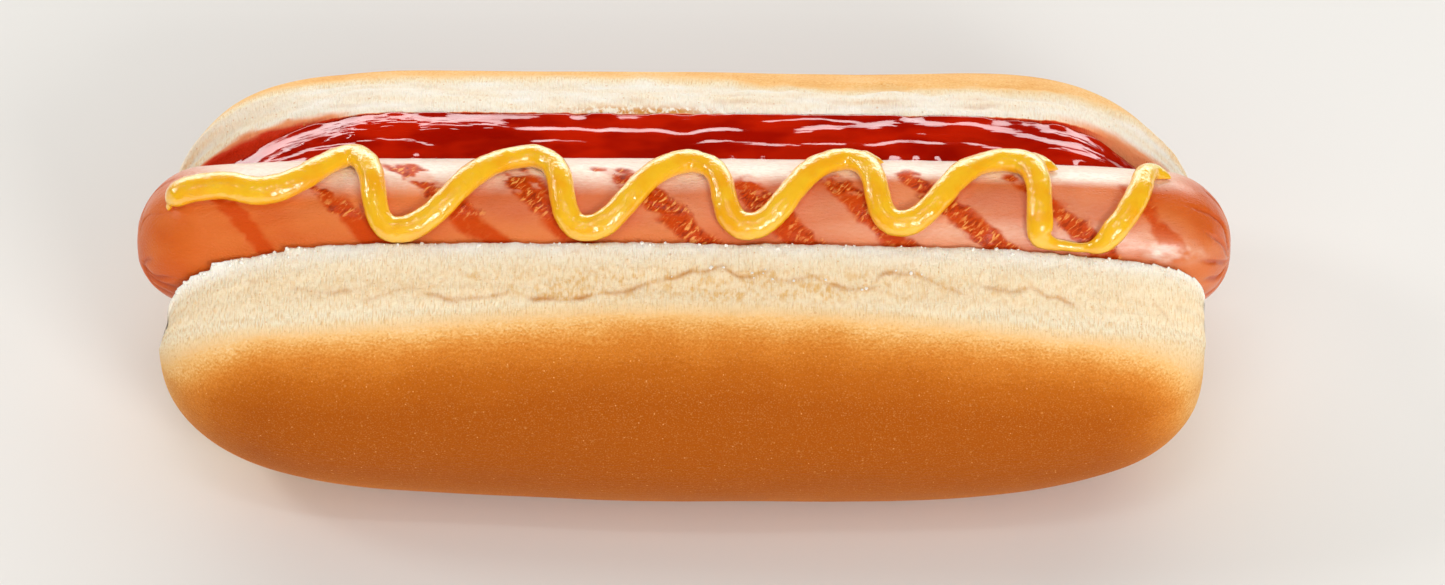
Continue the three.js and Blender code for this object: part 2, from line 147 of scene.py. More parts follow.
class Grain(Enum):
    """Kinds of smooth, repeatable unevenness, each with its seed for a cubic lattice of random values."""

    SCORCH_EDGE = 11
    CHAR_EDGE = 12
    CASING_SWELL = 13
    CASING_PUCKER = 14
    CASING_BLISTERS = 15
    CHAR_PATCHES = 17
    CHAR_GAPS = 18
    CASING_SHINE = 19
    RIM_LINE = 21
    FOLD_LINE = 22
    BAND_SWELL = 23
    BAND_PORES = 24
    CRUST_SWELL = 25
    SPLIT_PORES = 26
    FOLD_STRENGTH = 27
    RIM_TEETH = 28
    FOLD_TEETH = 29
    STAIN_EDGE = 30
    RIPPLE_LINE = 31
    WALL_EDGE = 32
    SAUCE_SWELL = 33
    RIPPLE_BREAKS = 34
    RIPPLE_COMB = 35
    SKIN_EDGE = 36
    REAR_BORDER = 37
    FRONT_RIM = 38
    SKIN_TEETH = 39
    REAR_RIM = 40
    BEAD_LUMPS = 41
    BEAD_SWELL = 42
    SAUCE_PEBBLES = 43
    SKIN_TEETH_GAPS = 44
    BEAD_SHEEN = 45

    def at(self, points: Array, size: float | Sequence[float], layers: int = 1) -> Array:
        """Unevenness at some points.

        Args:
            points: Places, one a row.
            size: Size of one swell, the same or one for each direction.
            layers: How many layers, each half the size and half the height of the one before.

        Returns:
            Values from about -1 to 1.
        """
        values = np.random.default_rng(self.value).uniform(-1.0, 1.0, (LATTICE,) * 3)
        total = np.zeros(points.shape[:-1])
        for layer in range(layers):
            places = points / np.asarray(size, float) * 2.0**layer + LAYER_SHIFT * layer
            total += self._layer(values, places) * 0.5**layer
        return total

    def _layer(self, values: Array, places: Array) -> Array:
        """One layer of unevenness, read between the lattice's random values.

        Args:
            values: Random values of the lattice.
            places: Places in cells of the lattice.

        Returns:
            One value for each place.
        """
        cell = np.floor(places).astype(int)
        share = places - cell
        share = share * share * (3.0 - 2.0 * share)
        total = np.zeros(places.shape[:-1])
        for corner in product((0, 1), repeat=3):
            weight = np.prod(np.where(corner, share, 1.0 - share), axis=-1)
            at = (cell + corner) % LATTICE
            total += weight * values[at[..., 0], at[..., 1], at[..., 2]]
        return total


class Outline:
    """A flat curve of joined pieces, read by the length along it."""

    STEPS = 400

    def __init__(self, start: Sequence[float]) -> None:
        """Starts the curve at a point."""
        self.points = np.array([start], float)
        self.lengths = np.zeros(1)

    def _extend(self, points: Array) -> None:
        """Adds a piece of points and measures the curve again."""
        self.points = np.vstack([self.points, points])
        self.lengths = run_lengths(self.points)

    def line(self, end: Sequence[float]) -> None:
        """Adds a straight piece."""
        share = np.linspace(0.0, 1.0, self.STEPS)[1:, None]
        self._extend(lerp(self.points[-1], np.asarray(end, float), share))

    def bezier(self, handle: Sequence[float], other: Sequence[float], end: Sequence[float]) -> None:
        """Adds a curve with two handles.

        Args:
            handle: Handle of the start.
            other: Handle of the end.
            end: Where the piece ends.
        """
        share = np.linspace(0.0, 1.0, self.STEPS)[1:, None]
        rest = 1.0 - share
        start, one, two, three = self.points[-1], *(np.asarray(p, float) for p in (handle, other, end))
        self._extend(
            rest**3 * start + 3.0 * rest**2 * share * one + 3.0 * rest * share**2 * two + share**3 * three
        )

    def arc(self, centre: Sequence[float], radius: float, start: float, end: float) -> None:
        """Adds an arc, between two angles from +Y, in radians."""
        turn = np.linspace(start, end, self.STEPS)[:, None]
        self._extend(np.asarray(centre, float) + radius * np.hstack([np.cos(turn), np.sin(turn)]))

    @property
    def total(self) -> float:
        """The whole length."""
        return float(self.lengths[-1])

    def at(self, length: Array) -> Array:
        """Points at lengths along the curve."""
        return np.stack([np.interp(length, self.lengths, self.points[:, i]) for i in (0, 1)], axis=-1)


# ---------------- meshes


def make_mesh(
    name: str,
    points: Array,
    faces: Sequence[Sequence[int]],
    edges: Sequence[tuple[int, int]] = (),
) -> Piece:
    """Makes a smooth mesh object from points in millimetres.

    Args:
        name: Name of the object and its mesh.
        points: Vertices, one a row.
        faces: Vertex numbers of each face.
        edges: Vertex numbers of each edge that belongs to no face.

    Returns:
        The new object, linked to the scene.
    """
    mesh = bpy.data.meshes.new(name)
    mesh.from_pydata((points * MM).tolist(), list(edges), faces)
    mesh.shade_smooth()
    piece = bpy.data.objects.new(name, mesh)
    bpy.context.scene.collection.objects.link(piece)
    return piece


def read_rows(items: Sequence, name: str) -> Array:
    """Three numbers of each of a mesh's items.

    Args:
        items: The mesh's vertices or their normals.
        name: Blender's name of the numbers.

    Returns:
        One row for each item.
    """
    flat = np.empty(len(items) * 3, np.float32)
    items.foreach_get(name, flat)
    return flat.reshape(-1, 3).astype(float)


def read_points(piece: Piece) -> Array:
    """Vertices of a piece, in millimetres."""
    return read_rows(piece.data.vertices, "co") / MM


def read_normals(piece: Piece) -> Array:
    """Vertex normals of a piece."""
    return read_rows(piece.data.vertex_normals, "vector")


def write_points(piece: Piece, points: Array) -> None:
    """Moves the vertices of a piece to points in millimetres."""
    piece.data.vertices.foreach_set("co", (points * MM).astype(np.float32).ravel())
    piece.data.update()


def write_masks(piece: Piece, masks: dict[str, Array]) -> None:
    """Stores numbers or vectors for the vertices, for a finish to read.

    Args:
        piece: The mesh object.
        masks: One number or one row of three for each vertex, by name.
    """
    for name, values in masks.items():
        kind, key = ("FLOAT", "value") if values.ndim == 1 else ("FLOAT_VECTOR", "vector")
        layer = piece.data.attributes.new(name, kind, "POINT")
        layer.data.foreach_set(key, values.astype(np.float32).ravel())


def closed_tube(rounds: int, rings: int) -> list[tuple[int, ...]]:
    """Faces of a tube of rings that is closed by a point at each end.

    The vertices are the first point, the rings one after another, and the last point.

    Args:
        rounds: Vertices in a ring.
        rings: Rings between the two points.

    Returns:
        The faces, which look outwards where a ring turns left as seen against the tube's direction.
    """
    faces: list[tuple[int, ...]] = []
    last = 1 + rings * rounds
    for i in range(rounds):
        j = (i + 1) % rounds
        faces.append((0, 1 + j, 1 + i))
        for ring in range(rings - 1):
            here = 1 + ring * rounds
            there = here + rounds
            faces.append((here + i, here + j, there + j, there + i))
        faces.append((last, last - rounds + i, last - rounds + j))
    return faces


def bake_modifiers(piece: Piece) -> None:
    """Turns a piece with live modifiers into a plain mesh.

    Args:
        piece: The object, which keeps its name.
    """
    graph = bpy.context.evaluated_depsgraph_get()
    mesh = bpy.data.meshes.new_from_object(piece.evaluated_get(graph))
    piece.modifiers.clear()
    piece.data = mesh
    mesh.name = piece.name
    mesh.shade_smooth()


# ---------------- nodes


class Nodes:
    """A tree of nodes under construction."""

    def __init__(self, tree: bpy.types.NodeTree) -> None:
        """Starts with a tree as it is."""
        self.tree = tree

    def feed(self, socket: Socket, value: object) -> None:
        """Gives a socket a value, or links it to another socket.

        Args:
            socket: The socket.
            value: A value, or the socket to link.
        """
        if isinstance(value, Socket):
            self.tree.links.new(value, socket)
        else:
            socket.default_value = value

    def node(self, kind: str, out: str = "", **values: object) -> Socket:
        """Adds a node.

        Args:
            kind: Blender's name of the node.
            out: Name of the socket wanted, or nothing for the first one.
            values: Settings and inputs by name, and numbered inputs as in_0, in_1 and so on.

        Returns:
            The node's socket of that name.
        """
        node = self.tree.nodes.new(kind)
        for name, value in values.items():
            if hasattr(node, name) and name not in node.inputs:
                setattr(node, name, value)
        for name, value in values.items():
            if name.startswith("in_"):
                self.feed(node.inputs[int(name[3:])], value)
            elif name in node.inputs:
                live = [socket for socket in node.inputs if socket.enabled and socket.name == name]
                self.feed(live[0], value)
        return next(socket for socket in node.outputs if socket.enabled and out in ("", socket.name))


class GeometryTree(Nodes):
    """One Geometry Nodes tree under construction."""

    def __init__(self, name: str) -> None:
        """Starts a tree with nothing but its output.

        Args:
            name: Name of the tree.
        """
        super().__init__(bpy.data.node_groups.new(name, "GeometryNodeTree"))
        self.inlet = self.tree.nodes.new("NodeGroupInput")
        self.outlet = self.tree.nodes.new("NodeGroupOutput")
        self.tree.interface.new_socket("Geometry", in_out="OUTPUT", socket_type="NodeSocketGeometry")
        self.names: dict[str, str] = {}

    def inputs(self, **kinds: str) -> list[Socket]:
        """Adds named inputs and gives the sockets that read them.

        Args:
            kinds: Type of each input by its name: Geometry, Float, Int or Material.

        Returns:
            The sockets, in the same order.
        """
        for name, kind in kinds.items():
            item = self.tree.interface.new_socket(name, in_out="INPUT", socket_type="NodeSocket" + kind)
            self.names[name] = item.identifier
        return [self.inlet.outputs[name] for name in kinds]

    def attribute(self, name: str, kind: str = "FLOAT") -> Socket:
        """A number or vector that the mesh stores."""
        return self.node("GeometryNodeInputNamedAttribute", data_type=kind, Name=name)

    def real(self, geometry: Socket) -> Socket:
        """The geometry with its instances made real."""
        return self.node("GeometryNodeRealizeInstances", Geometry=geometry)

    def output(self, geometry: Socket, finish: Socket) -> None:
        """Gives the tree's result, in its finish."""
        dressed = self.node("GeometryNodeSetMaterial", Geometry=geometry, Material=finish)
        self.feed(self.outlet.inputs[0], dressed)

    def attach(self, piece: Piece, inputs: dict[str, object]) -> None:
        """Puts the tree on a piece with values for its named inputs.

        Args:
            piece: The object.
            inputs: Value of each input by its name.
        """
        modifier = piece.modifiers.new(self.tree.name, "NODES")
        modifier.node_group = self.tree
        for name, value in inputs.items():
            modifier[self.names[name]] = value


# ---------------- finishes


def srgb(red: int, green: int, blue: int) -> tuple[float, float, float, float]:
    """Linear colour, with its alpha, from the usual 0 to 255 values."""
    shares = (value / 255.0 for value in (red, green, blue))
    return (*(s / 12.92 if s <= 0.04045 else ((s + 0.055) / 1.055) ** 2.4 for s in shares), 1.0)


class Shader(Nodes):
    """One procedural material under construction."""

    def __init__(self, name: str) -> None:
        """Starts a material with a plain surface shader.

        Args:
            name: Name of the material.
        """
        self.material = bpy.data.materials.new(name)
        self.material.use_nodes = True
        super().__init__(self.material.node_tree)
        self.surface = self.tree.nodes["Principled BSDF"]
        self.object_place = self.node("ShaderNodeTexCoord", "Object")

    def set(self, **values: object) -> None:
        """Sets sockets of the surface shader, with _ for a space in a name."""
        for name, value in values.items():
            self.feed(self.surface.inputs[name.replace("_", " ")], value)

    def value(self, name: str) -> Socket:
        """A number that the piece stores for each vertex."""
        return self.node("ShaderNodeAttribute", "Fac", attribute_name=name)

    def vector(self, name: str) -> Socket:
        """A vector that the piece stores for each vertex."""
        return self.node("ShaderNodeAttribute", "Vector", attribute_name=name)

    def maths(self, operation: str, *values: object) -> Socket:
        """One step of arithmetic."""
        inputs = {f"in_{number}": value for number, value in enumerate(values)}
        return self.node("ShaderNodeMath", operation=operation, **inputs)

    def times(self, one: object, other: object) -> Socket:
        """One number times another."""
        return self.maths("MULTIPLY", one, other)

    def scaled(self, value: object, factor: object, plus: object) -> Socket:
        """A number times a factor, plus another number."""
        return self.maths("MULTIPLY_ADD", value, factor, plus)

    def spread(self, value: object, low: float, high: float) -> Socket:
        """A number stretched so that low becomes 0 and high becomes 1, and held there."""
        inputs = {"Value": value, "From Min": low, "From Max": high}
        return self.node("ShaderNodeMapRange", interpolation_type="SMOOTHSTEP", **inputs)

    def stretched(self, place: Socket, size: Sequence[float]) -> Socket:
        """A place divided by a size in each direction, in the place's own units."""
        return self.node("ShaderNodeVectorMath", operation="DIVIDE", in_0=place, in_1=tuple(size))

    def noise(
        self, size: Sequence[float], detail: float = 2.0, place: Socket | None = None, twist: float = 0.0
    ) -> Socket:
        """Cloudy unevenness from 0 to 1.

        Args:
            size: Size of a cloud in X, Y and Z, in millimetres.
            detail: How many finer layers it has.
            place: A place in millimetres, or nothing for the object's own place.
            twist: How much the clouds are curled.

        Returns:
            The socket that gives the unevenness.
        """
        scale = 1.0 if place is not None else MM
        vector = self.stretched(place or self.object_place, [scale * s for s in size])
        inputs = {"Vector": vector, "Scale": 1.0, "Detail": detail, "Distortion": twist}
        return self.node("ShaderNodeTexNoise", "Fac", **inputs)

    def specks(self, spacing: float, radius: float, share: float) -> Socket:
        """Scattered round specks: 1 inside a speck and 0 between them.

        Args:
            spacing: Distance between places where a speck may be, in millimetres.
            radius: Radius of a speck, in millimetres.
            share: Share of the places that have a speck.

        Returns:
            The socket that gives the specks.
        """
        vector = self.stretched(self.object_place, [spacing * MM] * 3)
        distance = self.node("ShaderNodeTexVoronoi", "Distance", Vector=vector, Scale=1.0)
        inside = self.spread(distance, radius / spacing, 0.5 * radius / spacing)
        chance = self.node("ShaderNodeSeparateColor", in_0=distance.node.outputs["Color"])
        return self.times(inside, self.maths("LESS_THAN", chance, share))

    def ramp(self, value: Socket, stops: Sequence[tuple[float, tuple]]) -> Socket:
        """A colour read from stops by a number.

        Args:
            value: The number.
            stops: Place and colour of each stop.

        Returns:
            The colour.
        """
        colour = self.node("ShaderNodeValToRGB", "Color", Fac=value)
        elements = colour.node.color_ramp.elements
        while len(elements) < len(stops):
            elements.new(0.5)
        for element, (place, shade) in zip(elements, stops):
            element.position, element.color = place, shade
        return colour

    def mix(self, share: object, one: object, other: object) -> Socket:
        """A colour between two."""
        return self.node("ShaderNodeMix", data_type="RGBA", in_0=share, in_6=one, in_7=other)

    def bump(self, height: Socket, depth: float, under: Socket | None = None) -> Socket:
        """Fine relief, with a depth in millimetres, over coarser relief or none."""
        below = {} if under is None else {"Normal": under}
        return self.node("ShaderNodeBump", Strength=1.0, Distance=depth * MM, Height=height, **below)


@dataclass(frozen=True)
class BreadFinish:
    """Soft bread: pale torn band, golden border and brown crust, with shade painted along the folds and
    light painted low on the crust.
    """

    crumb: tuple = srgb(255, 238, 206)
    cream: tuple = srgb(254, 224, 178)
    # Tan: the crumb's own fibres, and painted shade above the folds.
    tan: tuple = srgb(232, 184, 116)
    honey: tuple = srgb(246, 192, 120)
    gold: tuple = srgb(230, 156, 72)
    golden: tuple = srgb(214, 126, 38)
    amber: tuple = srgb(190, 99, 10)
    brown: tuple = srgb(174, 84, 0)
    stained: tuple = srgb(208, 46, 12)
    tinged: tuple = srgb(246, 160, 108)
    toasted: tuple = srgb(216, 148, 66)
    sheen: tuple = srgb(255, 214, 170)
    white: tuple = srgb(255, 252, 244)
    # Dark line along the folds: painted shade.
    crease: tuple = srgb(204, 134, 62)
    fleck: tuple = srgb(216, 150, 78)
    scrap: tuple = srgb(150, 92, 48)

    def make(self) -> Material:
        """Builds the material.

        Returns:
            The material.
        """
        shader = Shader("bread")
        times, scaled, spread = shader.times, shader.scaled, shader.spread
        noise, specks, mix = shader.noise, shader.specks, shader.mix
        lay = shader.vector("lay")
        fine = noise((0.36, 0.3, 0.3))
        dust = noise((0.2, 0.18, 0.18), 1)
        lines = noise((2.6, 0.4, 0.4))
        cloud = noise((9, 9, 9))
        fibre = noise((0.22, 1.3, 1), 3, lay)
        patches = noise((4, 2.6, 2.6), 3)
        mottle = noise((0.7, 0.9, 0.9), 3)

        bake = shader.value("bake")
        uneven = scaled(fine, 0.34, -0.17)
        clouded = scaled(cloud, 0.2, -0.1)
        lined = scaled(lines, 0.12, -0.06)
        wobble = shader.maths("ADD", shader.maths("ADD", uneven, clouded), lined)
        on_crust = spread(bake, 0.02, 0.25)
        grown = scaled(on_crust, 0.75, 0.25)
        crust = shader.ramp(
            scaled(wobble, times(on_crust, grown), bake),
            [
                (0.0, self.crumb),
                (0.06, self.cream),
                (0.18, self.honey),
                (0.29, self.gold),
                (0.41, self.golden),
                (0.63, self.amber),
                (0.95, self.brown),
            ],
        )

        off_crust = spread(bake, 0.22, 0.04)
        pits = spread(fibre, 0.4, 0.7)
        patched = spread(patches, 0.35, 0.75)
        # The tan mask is partly the band's own tan and partly painted shade above the folds.
        tan = shader.value("tan")
        depth = scaled(patched, 0.5, 0.75)
        pitted = scaled(pits, 0.4, 0.35)
        mottled = scaled(spread(mottle, 0.4, 0.65), 0.55, pitted)
        tinted = times(times(tan, depth), mottled)
        faint = times(times(pits, off_crust), 0.62)
        colour = mix(shader.maths("MAXIMUM", tinted, faint), crust, self.tan)
        # Painted shade: a dark line along each fold.
        line = times(shader.value("line"), 0.85)
        colour = mix(line, colour, self.crease)
        colour = mix(times(shader.value("rim"), 0.85), colour, self.white)
        toast = times(shader.value("toast"), spread(mottle, 0.38, 0.56))
        colour = mix(toast, colour, self.toasted)
        stain = times(shader.value("stain"), spread(patches, -0.1, 0.4))
        colour = mix(spread(stain, 0.0, 0.4), colour, self.tinged)
        colour = mix(spread(stain, 0.25, 0.9), colour, self.stained)
        flecks = shader.maths("MAXIMUM", specks(0.9, 0.17, 0.3), specks(2.3, 0.26, 0.25))
        colour = mix(times(flecks, 0.45), colour, self.fleck)
        scraps = times(specks(6.5, 0.26, 0.3), 0.75)
        colour = mix(scraps, colour, self.scrap)
        grain = times(spread(dust, 0.5, 0.8), on_crust)
        colour = mix(times(grain, 0.22), colour, self.honey)
        lightly = times(on_crust, spread(bake, 0.42, 0.24))
        freckles = times(specks(0.75, 0.17, 0.45), lightly)
        colour = mix(times(freckles, 0.55), colour, self.golden)
        pale = times(specks(1.1, 0.13, 0.35), 0.6)
        colour = mix(times(pale, on_crust), colour, self.honey)

        torn = shader.bump(times(fibre, off_crust), 0.3)
        crinkled = shader.bump(times(lines, on_crust), 0.12, torn)
        shader.set(
            Base_Color=colour,
            Roughness=scaled(on_crust, -0.22, 0.85),
            Specular_IOR_Level=0.1,
            Sheen_Weight=0.06,
            Sheen_Roughness=0.5,
            Sheen_Tint=self.sheen,
            Subsurface_Weight=0.08,
            Subsurface_Radius=(1.0, 0.6, 0.3),
            Subsurface_Scale=0.001,
            Normal=shader.bump(fine, 0.14, crinkled),
        )
        return shader.material


@dataclass(frozen=True)
class CasingFinish:
    """Greasy sausage casing with dark, blistered grill marks, and a sheen and highlight painted into its
    colour.
    """

    plain: tuple = srgb(228, 122, 50)
    ruddy: tuple = srgb(214, 94, 20)
    # Pale colour of the painted sheen and highlight, standing for the grease reflecting the lights.
    painted_sheen: tuple = srgb(255, 237, 218)
    # Dark red-brown: painted shade in the gathers at the tips, and the skin's own small dots.
    fold: tuple = srgb(186, 62, 10)
    scorched: tuple = srgb(206, 68, 0)
    charred: tuple = srgb(158, 46, 0)
    # Light orange of the blister tips, partly a painted glint on them.
    blistered: tuple = srgb(255, 178, 92)

    def make(self) -> Material:
        """Builds the material.

        Returns:
            The material.
        """
        shader = Shader("sausage_casing")
        times, scaled, noise, mix = shader.times, shader.scaled, shader.noise, shader.mix
        cloud = noise((14, 8, 8))
        skin = noise((0.9, 0.3, 0.3), 3)
        fine = noise((0.3, 0.24, 0.24))
        blister = noise((2, 0.7, 1), 4, shader.vector("skin"), 0.6)
        colour = mix(shader.spread(cloud, 0.35, 0.7), self.plain, self.ruddy)
        colour = mix(shader.value("ruddy"), colour, self.ruddy)
        streaked = scaled(skin, 0.8, 0.54)
        # Painted sheen and highlight: the casing is paled where the "pale" mask is high.
        colour = mix(times(shader.value("pale"), streaked), colour, self.painted_sheen)
        # Painted shade: the skin is darkened in the gathers at the tips, as deep as each gather.
        colour = mix(shader.value("crease"), colour, self.fold)
        char = shader.value("char")
        colour = mix(shader.value("scorch"), colour, self.scorched)
        # The ramp's lightest stop is the blister tips' own light orange, and partly a painted glint.
        burnt = shader.ramp(
            blister,
            [(0.36, self.charred), (0.47, self.scorched), (0.54, self.scorched), (0.65, self.blistered)],
        )
        colour = mix(char, colour, burnt)
        dots = times(shader.specks(3.4, 0.18, 0.4), 0.7)
        colour = mix(dots, colour, self.fold)
        blistered = shader.bump(times(blister, char), 0.4)
        shader.set(
            Base_Color=colour,
            Roughness=scaled(shader.value("scorch"), 0.15, 0.38),
            Specular_IOR_Level=scaled(shader.value("scorch"), -0.2, 0.25),
            Coat_Weight=scaled(shader.value("gloss"), 0.75, 0.1),
            Coat_Roughness=0.25,
            Subsurface_Weight=0.1,
            Subsurface_Radius=(1.0, 0.35, 0.15),
            Subsurface_Scale=0.0012,
            Normal=shader.bump(fine, 0.08, shader.bump(skin, 0.1, blistered)),
        )
        return shader.material


@dataclass(frozen=True)
class KetchupFinish:
    """Wet red sauce."""

    deep: tuple = srgb(164, 14, 0)
    bright: tuple = srgb(198, 30, 2)

    def make(self) -> Material:
        """Builds the material.

        Returns:
            The material.
        """
        shader = Shader("ketchup")
        cloud = shader.noise((9, 4, 4))
        ripple = shader.noise((1.6, 0.5, 0.5), 3)
        shader.set(
            Base_Color=shader.mix(shader.spread(cloud, 0.35, 0.65), self.deep, self.bright),
            Roughness=0.08,
            Specular_IOR_Level=0.9,
            Coat_Weight=0.5,
            Coat_Roughness=0.05,
            Subsurface_Weight=0.05,
            Subsurface_Radius=(1.0, 0.1, 0.05),
            Subsurface_Scale=0.001,
            Normal=shader.bump(ripple, 0.014),
        )
        return shader.material


@dataclass(frozen=True)
class MustardFinish:
    """Wet, smooth, warm yellow sauce, with a highlight painted into its colour."""

    plain: tuple = srgb(255, 194, 26)
    deep: tuple = srgb(252, 176, 10)
    seed: tuple = srgb(214, 134, 12)
    # Pale yellow of the painted highlight.
    painted_sheen: tuple = srgb(255, 238, 132)

    def make(self) -> Material:
        """Builds the material.

        Returns:
            The material.
        """
        shader = Shader("mustard")
        cloud = shader.noise((5, 4, 4))
        ripple = shader.noise((0.9, 0.9, 0.9))
        beads = shader.noise((0.4, 0.4, 0.4), 1)
        colour = shader.mix(shader.spread(cloud, 0.4, 0.7), self.plain, self.deep)
        speckled = shader.scaled(shader.spread(beads, 0.35, 0.6), 0.55, 0.35)
        # Painted highlight: the sauce is paled where the bead faces the way a light would glint off it.
        pale = shader.times(shader.value("pale"), speckled)
        colour = shader.mix(pale, colour, self.painted_sheen)
        dots = shader.times(shader.specks(1.9, 0.13, 0.25), 0.35)
        under = shader.bump(ripple, 0.05)
        shader.set(
            Base_Color=shader.mix(dots, colour, self.seed),
            Roughness=0.3,
            Specular_IOR_Level=0.5,
            Coat_Weight=1.0,
            Coat_IOR=1.9,
            Coat_Roughness=0.03,
            Subsurface_Weight=0.15,
            Subsurface_Radius=(1.0, 0.7, 0.1),
            Subsurface_Scale=0.001,
            Normal=under,
            Coat_Normal=shader.bump(beads, 0.1, under),
        )
        return shader.material


@dataclass(frozen=True)
class FloorFinish:
    """Plain pale studio floor."""

    pale: tuple = srgb(232, 230, 226)
    grey: tuple = srgb(228, 226, 221)

    def make(self) -> Material:
        """Builds the material.

        Returns:
            The material.
        """
        shader = Shader("studio_floor")
        cloud = shader.noise((160, 160, 160), 1)
        shader.set(
            Base_Color=shader.mix(shader.spread(cloud, 0.2, 0.8), self.pale, self.grey),
            Roughness=0.8,
        )
        return shader.material


# ---------------- sausage


@dataclass(frozen=True)
class GrillMark:
    """One slanted scorch mark, by where it crosses the casing's mark_angle."""

    x: float
    slant: float
    width: float
    upper: float
    lower: float
    top: float
    depth: float
    foot: float = 0.0


@dataclass(frozen=True)
class Crease:
    """One gather in the skin of a tip: points of place and angle from its deep end, depth and width."""

    points: Pairs
    depth: float
    width: float


@dataclass
class Sausage:
    """The grilled sausage: a long casing with gathered ends and grill marks."""

    radius: float = 9.9
    left_length: float = 78.75
    right_length: float = 78.7
    cap_length: float = 9.6
    centre_y: float = -3.1
    centre_z: float = 35.05
    slope: float = -0.0085
    droop: float = 2.7
    droop_from: float = 75.0
    dimple: float = 0.15
    mark_angle: float = 66.0
    degree_length: float = 0.173
    tip_fade: tuple[float, float] = (62.0, 76.0)
    shown_angle: float = 68.0
    shown_spread: float = 62.0
    shown_extra: float = 2.2
    crease_reach: float = 12.0
    crease_steps: int = 40
    fine_steps: int = 2000
    rounds: int = 236
    body_rings: int = 300
    cap_rings: int = 40
    marks: tuple[GrillMark, ...] = (
        GrillMark(-64.4, -0.125, 3, 0, 0, 80, 0.85),
        GrillMark(-49.2, -0.16, 4.6, 0.9, 0, 90, 0.95),
        GrillMark(-33.4, -0.18, 4.8, 0.9, 0.05, 109, 0.95),
        GrillMark(-20.1, -0.15, 5.8, 1, 0.1, 101, 0.95),
        GrillMark(-3.8, -0.19, 5.4, 1, 0.8, 106, 1),
        GrillMark(11.2, -0.17, 5.2, 1, 0.6, 92, 1),
        GrillMark(24.7, -0.185, 5, 1, 0.6, 96, 0.95),
        GrillMark(37.9, -0.195, 4.8, 0.9, 0.8, 99, 0.95),
        GrillMark(52.8, -0.185, 4.4, 0.7, 0.7, 101, 0.9),
        GrillMark(66.2, -0.13, 3.2, 0.35, 0, 92, 0.8, 48),
    )
    creases: tuple[Crease, ...] = (
        Crease(((-77.6, -4), (-76.8, -14), (-74, -9), (-70.8, -4)), 0.5, 0.42),
        Crease(((-77.6, -2), (-76.2, -6), (-74.2, 2), (-72, 6)), 0.4, 0.35),
        Crease(((-77.6, -4), (-76.5, -26), (-74.5, -22), (-72, -18)), 0.45, 0.4),
        Crease(((-77.6, 0), (-77, 14), (-75.6, 24)), 0.28, 0.35),
        Crease(((-78, 60), (-77.6, 76), (-76.8, 79), (-75, 71), (-71.7, 65)), 0.16, 0.2),
        Crease(((-78, 80), (-77.6, 112), (-76.3, 122), (-73.7, 112), (-71, 106)), 0.3, 0.3),
        Crease(((-77.8, 150), (-77, 160), (-75, 165), (-73, 160)), 0.4, 0.4),
        Crease(((-77.8, 210), (-77, 205), (-75, 212), (-73, 208)), 0.4, 0.4),
        Crease(((-77.8, 260), (-77, 264), (-75, 256), (-73, 260)), 0.4, 0.4),
        Crease(((78.1, 12), (76.6, 22), (75, 26), (72.6, 30)), 0.4, 0.35),
        Crease(((78.1, 20), (77.2, 46), (75.6, 54), (73.6, 58)), 0.3, 0.3),
        Crease(((78.1, 30), (77.4, 74), (75.8, 80), (73.1, 78), (70.6, 80)), 0.36, 0.34),
        Crease(((78.1, 0), (76.8, -4), (75.2, 4), (73.4, 6)), 0.45, 0.4),
        Crease(((78.1, -10), (76.8, -26), (75.2, -24), (73, -20)), 0.45, 0.4),
        Crease(((78.1, 110), (77.2, 118), (75.4, 114), (73, 118)), 0.35, 0.35),
        Crease(((78.1, 180), (77, 176), (75, 184), (73, 180)), 0.4, 0.4),
        Crease(((78.1, 240), (77, 246), (75, 240), (73, 244)), 0.4, 0.4),
    )

    def axis_z(self, x: Array) -> Array:
        """Height of the axis."""
        return self.centre_z + self.slope * x - self.droop * (x / self.droop_from) ** 4

    def cap_share(self, x: Array) -> Array:
        """How far into a cap a place is: 0 on the body, 1 at the tip."""
        half_length = np.where(x < 0.0, self.left_length, self.right_length)
        return np.maximum(0.0, (np.abs(x) - half_length) / self.cap_length + 1.0)

    def radius_at(self, x: Array) -> Array:
        """Radius of the casing."""
        return self.radius * np.sqrt(np.maximum(0.0, 1.0 - self.cap_share(x) ** 2))

    def point(self, x: Array, angle: Array, proud: Amount = 0.0) -> Array:
        """Points on the skin, or proud of it, by place and angle in degrees.

        Args:
            x: Places along X.
            angle: Angles round the casing.
            proud: Height over the skin.

        Returns:
            One point for each place.
        """
        turn = np.radians(angle)
        radius = self.radius_at(x) + proud
        y = self.centre_y - radius * np.cos(turn)
        z = self.axis_z(x) + radius * np.sin(turn)
        return np.stack(np.broadcast_arrays(x, y, z), axis=-1)

    def outward(self, x: Array, angle: Array) -> Array:
        """Unit vectors out of the skin.

        Args:
            x: Places along X.
            angle: Angles round the casing.

        Returns:
            One vector for each place.
        """
        step = 0.01
        turn = np.radians(angle)
        flare = (self.radius_at(x + step) - self.radius_at(x)) / step
        way = np.stack([-flare, -np.cos(turn), np.sin(turn)], axis=-1)
        return way / np.linalg.norm(way, axis=-1, keepdims=True)

    def _stations(self) -> Array:
        """Places of the rings along the casing, without the two tips.

        Returns:
            Places along X, from left to right.
        """
        left, right = self.left_length - self.cap_length, self.right_length - self.cap_length
        cap = self.cap_length * np.sin(np.linspace(0.0, pi / 2, self.cap_rings + 1)[1:-1])
        return np.concatenate([-left - cap[::-1], np.linspace(-left, right, self.body_rings), right + cap])

    def _angles(self) -> Array:
        """Angles round the casing, closest together where it shows, with the seam underneath.

        Returns:
            Rising angles, one for each vertex of a ring.
        """
        fine = np.linspace(-90.0, 270.0, self.fine_steps)
        density = np.cumsum(1.0 + self.shown_extra * bump(fine, self.shown_angle, self.shown_spread))
        density = (density - density[0]) / (density[-1] - density[0])
        return np.interp(np.arange(self.rounds) / self.rounds, density, fine)

